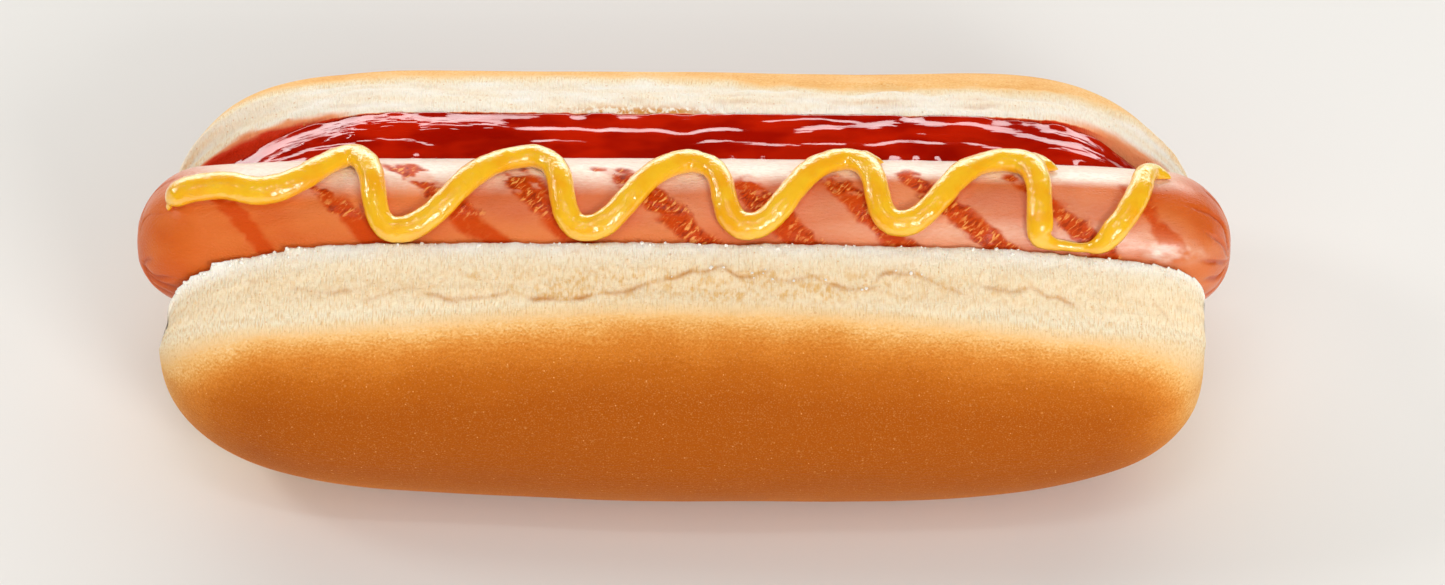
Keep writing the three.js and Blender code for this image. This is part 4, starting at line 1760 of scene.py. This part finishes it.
    def _relief(self, at: BreadPlaces) -> tuple[Array, dict[str, Array]]:
        """Relief of the bread along its normals, and the masks that its finish reads.

        Args:
            at: Vertices of the smooth form, and where they lie.

        Returns:
            The relief, and each mask by its name.
        """
        x, from_rim, on_crust = at.x, at.from_rim, at.on_crust
        ahead = self._folded(x, from_rim, self.folds)
        behind = self._folded(x, from_rim, self.rear_folds)
        masks = {name: on_crust * np.where(at.front, ahead[name], behind[name]) for name in ahead}
        relief = masks.pop("relief") + self._form_relief(at)
        ground = smoothstep(from_rim, 1.2, 6) * fall(from_rim, 8, 11) * on_crust
        browned = np.where(at.front, 0.35 + 0.5 * bump(x, 2, 40), 0.4)
        masks["tan"] = np.maximum(masks["tan"], browned * ground)
        masks["bake"] = self._bake(at)
        masks["stain"] = self._stain(at)
        masks["rim"] = self._rim(at)
        toasted = np.minimum(1, 1.4 * bump(x, -6, 9))
        masks["toast"] = at.rear * on_crust * bump(from_rim, 0.3, 1.1) * toasted
        on_rim = bump(from_rim, 0, 0.7) * (0.25 + smoothstep(-x, 48, 62))
        in_folds = 0.5 * masks["line"] * bump(x, 12, 16)
        masks["crumbly"] = at.front * on_crust * np.maximum(on_rim, in_folds)
        return relief, masks


# ---------------- ketchup


@dataclass(frozen=True)
class Ripple:
    """One ridge of the sauce: points of place along X and share of the way across, height and width."""

    points: Pairs
    height: float
    width: float

    def at(self, x: Array, share: float, stray: Array) -> Array:
        """Height of the ridge, whose line strays, at places with one share of the way across."""
        line, strength = along_line(self.points, x, 0.5, 4.0)
        return self.height * strength * bump(share, line + stray, self.width)


@dataclass
class Ketchup:
    """The wedge of ketchup between the sausage and the rear wall of the split."""

    sausage: Sausage
    bun: Bun
    left: float = -68.5
    right: float = 67.5
    low: float = 1.0
    top: float = 43.0
    end_drop: float = 16.0
    wall_low: float = 0.42
    wall_top: float = 0.985
    wall_end_drop: float = 0.1
    wall_swell: float = 0.45
    level: float = 0.4
    puff: float = 0.22
    heart_depth: float = 1.2
    wall_sunk: float = 0.1
    skin_sunk: float = 0.05
    sides: int = 5
    across: int = 76
    stations: int = 460
    ripples: tuple[Ripple, ...] = (
        Ripple(((-64, 0.84), (-56, 0.52), (-46, 0.36), (-36, 0.34), (-24, 0.46)), 0.5, 0.2),
        Ripple(((-26, 0.42), (-14, 0.42), (0, 0.48), (10, 0.42)), 0.26, 0.07),
        Ripple(((14, 0.58), (22, 0.42), (31, 0.3), (42, 0.3), (50, 0.42)), 0.36, 0.14),
        Ripple(((-62, 0.92), (-54, 0.78), (-44, 0.68), (-34, 0.74)), 0.2, 0.07),
        Ripple(((-24, 0.68), (-18, 0.64), (-11, 0.72)), 0.16, 0.06),
        Ripple(((-2, 0.72), (6, 0.7), (16, 0.8), (24, 0.72), (36, 0.66), (48, 0.7)), 0.2, 0.08),
        Ripple(((46, 0.36), (53, 0.54), (60, 0.66), (66, 0.78)), 0.34, 0.12),
        Ripple(((50, 0.24), (56, 0.3), (62, 0.38)), 0.26, 0.08),
        Ripple(((-60, 0.66), (-52, 0.5), (-44, 0.46)), 0.16, 0.05),
        Ripple(((9, 0.26), (18, 0.2), (26, 0.24)), 0.14, 0.05),
        Ripple(((30, 0.5), (38, 0.46), (47, 0.52)), 0.15, 0.05),
        Ripple(((50, 0.62), (57, 0.74), (64, 0.86)), 0.24, 0.07),
    )

    def _wall_point(self, x: Array, height: Amount) -> Array:
        """Points on the bun's wall, in Y and Z, sunk a little into the bread.

        Args:
            x: Places along X.
            height: Share of the way up the wall.

        Returns:
            The points.
        """
        wall = self.bun.wall_start
        heights = np.broadcast_to(height, np.shape(x))
        points = []
        for i, place in enumerate(x):
            here = np.array([place])
            share = lerp(wall, 1, min(float(heights[i]), 0.99))
            point = self.bun.split_point(here, share)[0]
            below = self.bun.split_point(here, share - 0.003)[0]
            slope = (point - below) / np.linalg.norm(point - below)
            points.append([point[0] + slope[1] * self.wall_sunk, point[1] - slope[0] * self.wall_sunk])
        return np.array(points)

    def _skin_point(self, x: Array, angle: Amount) -> Array:
        """Points on the sausage's rear side, in Y and Z, by the angle above the horizontal."""
        return self.sausage.point(x, 180.0 - angle, -self.skin_sunk)[..., 1:]

    def _top(self, x: Array, share: float) -> Array:
        """Height of the top over the straight line across the sauce, at one share of the way.

        Args:
            x: Places along X.
            share: Share of the way from the wall to the skin.

        Returns:
            Heights.
        """
        place = np.column_stack([x, 0.0 * x + 9.0 * share, 0.0 * x])
        stray = 0.05 * Grain.RIPPLE_LINE.at(place, (4.5, 30, 1), 3)
        height = self.puff * sin(pi * share)
        height += 0.05 * Grain.SAUCE_SWELL.at(place, (9, 3, 1), 2)
        height += self.wall_swell * (1.0 - share) ** 3
        broken = 0.85 + 0.45 * Grain.RIPPLE_BREAKS.at(place, (3.5, 20, 1), 3)
        ridges = sum(broken * ripple.at(x, share, stray) for ripple in self.ripples)
        wide_part = 1.0 - 0.8 * smoothstep(np.abs(x), 56, 64)
        grooved = (0.1 + 0.14 * bump(x, -46, 15)) * wide_part
        combed = grooved * np.clip(ridges, 0.04, 0.5) * Grain.RIPPLE_COMB.at(place, (2.2, 0.34, 1), 3)
        pebbled = 0.05 * bump(x, 59, 5) * exp(-(((share - 0.28) / 0.16) ** 2))
        combed += pebbled * Grain.SAUCE_PEBBLES.at(place, (1.2, 0.5, 1), 2)
        return (height + ridges + combed) * min(1.0, 9.0 * sin(pi * share))

    def build(self, finish: KetchupFinish) -> Piece:
        """Builds the sauce and dresses it.

        Args:
            finish: What the sauce is made of.

        Returns:
            The sauce.
        """
        swing = np.sin(np.linspace(-pi / 2, pi / 2, self.stations + 1))[1:-1]
        x = lerp(self.left, self.right, (1.0 + swing) / 2.0)
        ends = swing**8
        line = np.column_stack([x, 0.0 * x, 0.0 * x])
        even_wall = self.wall_top - self.wall_end_drop * ends
        wall_edge = even_wall + 0.02 * Grain.WALL_EDGE.at(line, 3, 3)
        straight = [self._wall_point(x, even_wall)]
        on_wall = self._wall_point(x, wall_edge)
        rise = (straight[0][:, 1] + self.level - self.sausage.axis_z(x)) / self.sausage.radius
        even_skin = self.top - self.end_drop * ends + 1.2 * Grain.SKIN_EDGE.at(line, 8, 2)
        even_skin = np.minimum(even_skin, np.degrees(np.arcsin(np.clip(rise, -0.2, 0.8))))
        teeth = Grain.SKIN_TEETH.at(line, 1.1, 3) * Grain.SKIN_TEETH_GAPS.at(line, 6, 2)
        skin_edge = even_skin + 3.0 * teeth
        straight.append(self._skin_point(x, even_skin))
        on_skin = self._skin_point(x, skin_edge)
        torn = (on_wall - straight[0], on_skin - straight[1])
        heights = [lerp(self.wall_low, wall_edge, i / self.sides) for i in range(self.sides)]
        ring = [self._wall_point(x, height) for height in heights]
        for i in range(self.across + 1):
            share = i / self.across
            point = lerp(straight[0], straight[1], share)
            point += torn[0] * fall(share, 0, 0.2) + torn[1] * smoothstep(share, 0.86, 1)
            point[:, 1] += self._top(x, share) * (1.0 - ends)
            ring.append(point)
        for i in range(self.sides - 1, -1, -1):
            ring.append(self._skin_point(x, lerp(self.low, skin_edge, i / self.sides)))
        heart = lerp(on_wall, on_skin, 0.5)
        heart[:, 1] -= self.heart_depth
        size = ((1.0 - ends**1.25) ** 0.5)[:, None]
        section = np.stack([lerp(heart, point, size) for point in ring], axis=1)
        rounds = section.shape[1]
        points = np.concatenate([np.repeat(x[:, None, None], rounds, axis=1), section], axis=2)
        tips = [np.array([self.left, *heart[0]]), np.array([self.right, *heart[-1]])]
        flat = np.vstack([tips[0], points.reshape(-1, 3), tips[1]])
        piece = make_mesh("ketchup_wedge", flat, closed_tube(rounds, len(x)))
        piece.data.materials.append(finish.make())
        return piece


# ---------------- mustard


@dataclass(frozen=True)
class Rail:
    """Points of a middle line, the way out from the skin at each and the size there."""

    points: Array
    out: Array
    size: Array


@dataclass
class Mustard:
    """The squiggle of mustard on the sausage, swept along its path."""

    sausage: Sausage
    width: float = 3.8
    height: float = 3.1
    step: float = 0.45
    fine_steps: int = 6000
    end_radius: float = 2.2
    melt_cell: float = 0.24
    melt_factor: float = 0.5
    melt_passes: int = 6
    sides: int = 24
    sunk: float = 0.12
    # Way that the painted highlight faces.
    sheen_way: tuple[float, float, float] = (0.38, 0.36, 0.85)
    turns: tuple[tuple[float, float, float, float], ...] = (
        *((-48, 112, -40.8, 43), (-21.4, 108, -13.9, 44), (1.5, 102, 9.3, 46), (23.5, 107, 30.8, 49)),
    )
    down_stroke: Pairs = ((0, 0), (0.31, 0.13), (0.47, 0.36), (0.54, 0.61), (0.63, 0.84), (0.8, 0.975))
    up_stroke: Pairs = (
        *((0, 0), (0.13, 0.04), (0.28, 0.2), (0.42, 0.43), (0.57, 0.68), (0.73, 0.87), (0.87, 0.97)),
    )
    start: Triples = (
        *((-73.4, 75, 0.8), (-72, 77.5, 1.02), (-69.4, 80, 1.1), (-65.5, 80.5, 1.13), (-60, 74.5, 1.15)),
        (-54.5, 84.5, 1.08),
    )
    finish_off: Triples = (
        *((46, 109, 1.05), (49, 103, 1.05), (50.4, 86, 1), (50.6, 66, 1), (50.6, 50, 1), (50.8, 41, 0.85)),
        *((53, 36, 0.5), (57, 34.5, 0.42), (59.2, 38, 0.75), (60.9, 47, 0.95), (62.8, 60, 0.95)),
        *((64.7, 79, 0.95), (66, 101, 0.9), (67.6, 108, 0.7), (69.8, 105, 0.3)),
    )
    tails: tuple[Triples, ...] = (
        ((24, 108, 0.8), (26.2, 112, 0.7), (28.6, 114, 0.3)),
        ((48.2, 108, 0.95), (50.8, 109, 0.8), (53.6, 108, 0.35)),
        ((-73, 75, 0.5), (-73.4, 70.5, 0.34), (-73.4, 67.5, 0.2)),
    )

    def _path(self) -> list[tuple[float, float, float]]:
        """Every point of the squiggle: place, angle and size.

        Returns:
            The points, from the left end on.
        """
        points = list(self.start)
        for number, (crest_x, crest, trough_x, trough) in enumerate(self.turns):
            after = self.turns[number + 1] if number + 1 < len(self.turns) else self.finish_off[0]
            for along, down in self.down_stroke:
                points.append((lerp(crest_x, trough_x, along), lerp(crest, trough, down), 1))
            for along, up in self.up_stroke:
                points.append((lerp(trough_x, after[0], along), lerp(trough, after[1], up), 1))
        return points + list(self.finish_off)

    def _rail(self, path: Sequence[tuple[float, float, float]]) -> Rail:
        """Middle line of a bead that lies on the skin, with its size and the way out at each point.

        Args:
            path: Place, angle and size of each point.

        Returns:
            The rail, in even steps.
        """
        fine = catmull_rom(np.array(path, float), np.linspace(0.0, 1.0, self.fine_steps))
        feet = self.sausage.point(fine[:, 0], fine[:, 1])
        run = run_lengths(feet)
        at = np.linspace(0.0, run[-1], max(8, round(run[-1] / self.step)) + 1)
        place = np.stack([np.interp(at, run, fine[:, i]) for i in range(3)], axis=-1)
        lumps = 1.0 + 0.05 * Grain.BEAD_LUMPS.at(np.column_stack([at, 0.0 * at, 0.0 * at]), 3.5, 3)
        size = place[:, 2] * lumps
        inset = np.maximum(0.0, 1.0 - np.minimum(at, at[-1] - at) / self.end_radius)
        ending = np.sqrt(np.maximum(0.02, 1.0 - inset**2))
        out = self.sausage.outward(place[:, 0], place[:, 1])
        foot = self.sausage.point(place[:, 0], place[:, 1])
        return Rail(foot + out * (0.5 * self.height * size - self.sunk)[:, None], out, size * ending)

    def _sweep(self) -> GeometryTree:
        """Node tree that sweeps a bead along its rails.

        Returns:
            The tree, with the bead's width, height and sides as named inputs.
        """
        tree = GeometryTree("sauce_bead")
        rails, width, height, sides, finish = tree.inputs(
            Rails="Geometry", Width="Float", Height="Float", Sides="Int", Finish="Material"
        )
        curve = tree.node("GeometryNodeMeshToCurve", Mesh=rails)
        out = tree.attribute("out", "FLOAT_VECTOR")
        turned = tree.node("GeometryNodeSetCurveNormal", mode="FREE", Curve=curve, Normal=out)
        size = tree.attribute("size")
        circle = tree.node("GeometryNodeCurvePrimitiveCircle", Resolution=sides, Radius=0.5)
        scale = tree.node("ShaderNodeCombineXYZ", X=height, Y=width, Z=1.0)
        section = tree.node("GeometryNodeTransform", Geometry=circle, Scale=scale)
        caps = {"Fill Caps": True, "Profile Curve": section}
        bead = tree.node("GeometryNodeCurveToMesh", Curve=turned, Scale=size, **caps)
        tree.output(tree.real(bead), finish)
        return tree

    def build(self, finish: MustardFinish) -> Piece:
        """Builds the bead and its tails, melts them together and dresses them.

        Args:
            finish: What the sauce is made of.

        Returns:
            The bead.
        """
        rails = [self._rail(path) for path in (self._path(), *self.tails)]
        points = np.vstack([rail.points for rail in rails])
        starts = np.cumsum([0] + [len(rail.points) for rail in rails])
        edges = [(i, i + 1) for low, high in zip(starts, starts[1:]) for i in range(low, high - 1)]
        piece = make_mesh("mustard_bead", points, [], edges)
        out = np.vstack([rail.out for rail in rails])
        write_masks(piece, {"out": out, "size": np.concatenate([rail.size for rail in rails])})
        section = {"Width": self.width * MM, "Height": self.height * MM, "Sides": self.sides}
        self._sweep().attach(piece, {**section, "Finish": finish.make()})
        melt = piece.modifiers.new("melt", "REMESH")
        melt.mode = "VOXEL"
        melt.voxel_size = self.melt_cell * MM
        soften = piece.modifiers.new("soften", "SMOOTH")
        soften.factor = self.melt_factor
        soften.iterations = self.melt_passes
        bake_modifiers(piece)
        points = read_points(piece)
        relief = 0.07 * Grain.BEAD_SWELL.at(points, 1.5, 3)
        normals = read_normals(piece)
        write_points(piece, points + normals * relief[:, None])
        # Painted highlight: high where the bead's normals face the sheen_way.
        facing = normals @ np.array(self.sheen_way) + 0.06 * Grain.BEAD_SHEEN.at(points, (1.2, 1.2, 1.2), 2)
        write_masks(piece, {"pale": smoothstep(facing, 0.86, 0.99)})
        piece.data.shade_smooth()
        return piece


# ---------------- crumbs


@dataclass
class Crumbs:
    """Loose crumbs that cling to the torn edges of the bread."""

    density: float = 1.6e6
    smallest: float = 0.18
    largest: float = 0.66
    raggedness: float = 0.9
    full_turn: float = 6.3
    seed: int = 7
    turn_seed: int = 3

    def _scatter(self) -> GeometryTree:
        """Node tree that scatters ragged little lumps where the bread is crumbly.

        Returns:
            The tree, with the crumbs' density and sizes as named inputs.
        """
        tree = GeometryTree("crumb_scatter")
        sizes = {"Smallest": "Float", "Largest": "Float"}
        bread, density, smallest, largest, seed, finish = tree.inputs(
            Bread="Geometry", Density="Float", **sizes, Seed="Int", Finish="Material"
        )
        crumbly = tree.attribute("crumbly")
        thick = tree.node("ShaderNodeMath", operation="MULTIPLY", in_0=crumbly, in_1=density)
        over = {"Mesh": bread, "Density": thick, "Seed": seed}
        places = tree.node("GeometryNodeDistributePointsOnFaces", "Points", **over)
        lump = tree.node("GeometryNodeMeshIcoSphere", Radius=0.5, Subdivisions=2)
        noise = tree.node("ShaderNodeTexNoise", "Color", Scale=2.6, Detail=1.0)
        shift = tree.node("ShaderNodeVectorMath", operation="SUBTRACT", in_0=noise, in_1=(0.5, 0.5, 0.5))
        push = tree.node("ShaderNodeVectorMath", operation="SCALE", in_0=shift, Scale=self.raggedness)
        ragged = tree.node("GeometryNodeSetPosition", Geometry=lump, Offset=push)
        size = tree.node("FunctionNodeRandomValue", data_type="FLOAT", Min=smallest, Max=largest, Seed=seed)
        turns = {"Max": (self.full_turn,) * 3, "Seed": self.turn_seed}
        turn = tree.node("FunctionNodeRandomValue", data_type="FLOAT_VECTOR", **turns)
        spread = {"Points": places, "Instance": ragged, "Rotation": turn, "Scale": size}
        lumps = tree.node("GeometryNodeInstanceOnPoints", **spread)
        rim = {"Geometry": tree.real(lumps), "Name": "rim", "Value": 1.0}
        tree.output(tree.node("GeometryNodeStoreNamedAttribute", **rim), finish)
        return tree

    def build(self, bread: Piece) -> Piece:
        """Scatters the crumbs over the bread.

        Args:
            bread: The finished bread.

        Returns:
            The crumbs.
        """
        piece = bpy.data.objects.new("bun_crumbs", bread.data.copy())
        bpy.context.scene.collection.objects.link(piece)
        inputs = {
            "Density": self.density,
            "Smallest": self.smallest * MM,
            "Largest": self.largest * MM,
            "Seed": self.seed,
            "Finish": bread.data.materials[0],
        }
        self._scatter().attach(piece, inputs)
        bake_modifiers(piece)
        return piece


# ---------------- studio


@dataclass(frozen=True)
class Softbox:
    """One rectangular studio light."""

    name: str
    place: tuple[float, float, float]
    size: tuple[float, float]
    watts: float
    glints: bool

    def build(self, target: Vector) -> None:
        """Hangs the light, aimed at a target in metres.

        Args:
            target: The target.
        """
        lamp = bpy.data.lights.new(self.name, "AREA")
        lamp.shape = "RECTANGLE"
        lamp.size, lamp.size_y = (side * MM for side in self.size)
        lamp.energy = self.watts
        holder = bpy.data.objects.new(self.name, lamp)
        bpy.context.scene.collection.objects.link(holder)
        holder.location = Vector(self.place) * MM
        holder.rotation_euler = (target - holder.location).to_track_quat("-Z", "Y").to_euler()
        holder.visible_glossy = self.glints


@dataclass
class Studio:
    """Floor, soft lights and camera."""

    aim: tuple[float, float, float] = (5.45, -9.66, 28.52)
    distance: float = 1200.0
    elevation: float = 45.0
    lens: float = 208.4
    sensor_width: float = 36.0
    clip_start: float = 50.0
    target: tuple[float, float, float] = (0.0, 0.0, 30.0)
    floor_half: float = 2500.0
    ambient: float = 0.345
    room: tuple[float, float, float, float] = (1.0, 0.985, 0.96, 1.0)
    softboxes: tuple[Softbox, ...] = (
        Softbox("rear_softbox", (-20.0, 900.0, 390.0), (1760.0, 460.0), 9.4, True),
        Softbox("front_fill", (60.0, -1400.0, 850.0), (1600.0, 900.0), 7.6, False),
        Softbox("top_fill", (0.0, -500.0, 1300.0), (900.0, 600.0), 1.5, False),
        Softbox("top_strip", (-60.0, -330.0, 1150.0), (360.0, 34.0), 0.7, True),
        Softbox("right_softbox", (330.0, -780.0, 500.0), (280.0, 250.0), 2.9, True),
        Softbox("left_softbox", (-800.0, 150.0, 640.0), (210.0, 150.0), 1.5, True),
        Softbox("right_fill", (900.0, -200.0, 400.0), (600.0, 500.0), 1.0, False),
    )

    def build(self) -> None:
        """Builds the studio."""
        self._floor()
        self._world()
        for softbox in self.softboxes:
            softbox.build(Vector(self.target) * MM)
        self._camera()
        bpy.context.scene.view_settings.view_transform = "Standard"

    def _floor(self) -> None:
        """Lays the floor."""
        half = self.floor_half
        corners = np.array([(-half, -half, 0), (half, -half, 0), (half, half, 0), (-half, half, 0)], float)
        floor = make_mesh("studio_floor", corners, [(0, 1, 2, 3)])
        floor.data.materials.append(FloorFinish().make())

    def _world(self) -> None:
        """Lights the room evenly."""
        world = bpy.data.worlds.new("studio_room")
        world.use_nodes = True
        background = world.node_tree.nodes["Background"]
        background.inputs["Color"].default_value = self.room
        background.inputs["Strength"].default_value = self.ambient
        world.cycles_visibility.glossy = False
        bpy.context.scene.world = world

    def _camera(self) -> None:
        """Sets up the camera."""
        camera = bpy.data.cameras.new("camera")
        camera.lens = self.lens
        camera.sensor_width = self.sensor_width
        camera.sensor_fit = "HORIZONTAL"
        camera.clip_start = self.clip_start * MM
        holder = bpy.data.objects.new("camera", camera)
        bpy.context.scene.collection.objects.link(holder)
        tilt = radians(self.elevation)
        aim = Vector(self.aim)
        away = Vector((0.0, -cos(tilt), sin(tilt))) * self.distance
        holder.location = (aim + away) * MM
        holder.rotation_euler = (pi / 2 - tilt, 0.0, 0.0)
        bpy.context.scene.camera = holder


# ---------------- the whole


def report(piece: Piece) -> None:
    """Logs one finished piece."""
    piece.data.calc_loop_triangles()
    LOG.info("%s: %d triangles", piece.name, len(piece.data.loop_triangles))


def main() -> None:
    """Builds the studio and the hot dog."""
    logging.basicConfig(level=logging.INFO, format="%(name)s: %(message)s")
    Studio().build()
    sausage = Sausage()
    bun = Bun(sausage)
    pieces = {
        "sausage": (sausage.build(CasingFinish()), "sausage_casing"),
        "bun": (bun.build(BreadFinish()), "bread"),
        "ketchup": (Ketchup(sausage, bun).build(KetchupFinish()), "ketchup"),
        "mustard": (Mustard(sausage).build(MustardFinish()), "mustard"),
    }
    for node, (piece, slot) in pieces.items():
        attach(piece, "root")
        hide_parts(node)
        report(piece)
    crumbs = Crumbs().build(pieces["bun"][0])
    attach(crumbs, "root")
    report(crumbs)


if __name__ == "__main__":
    main()
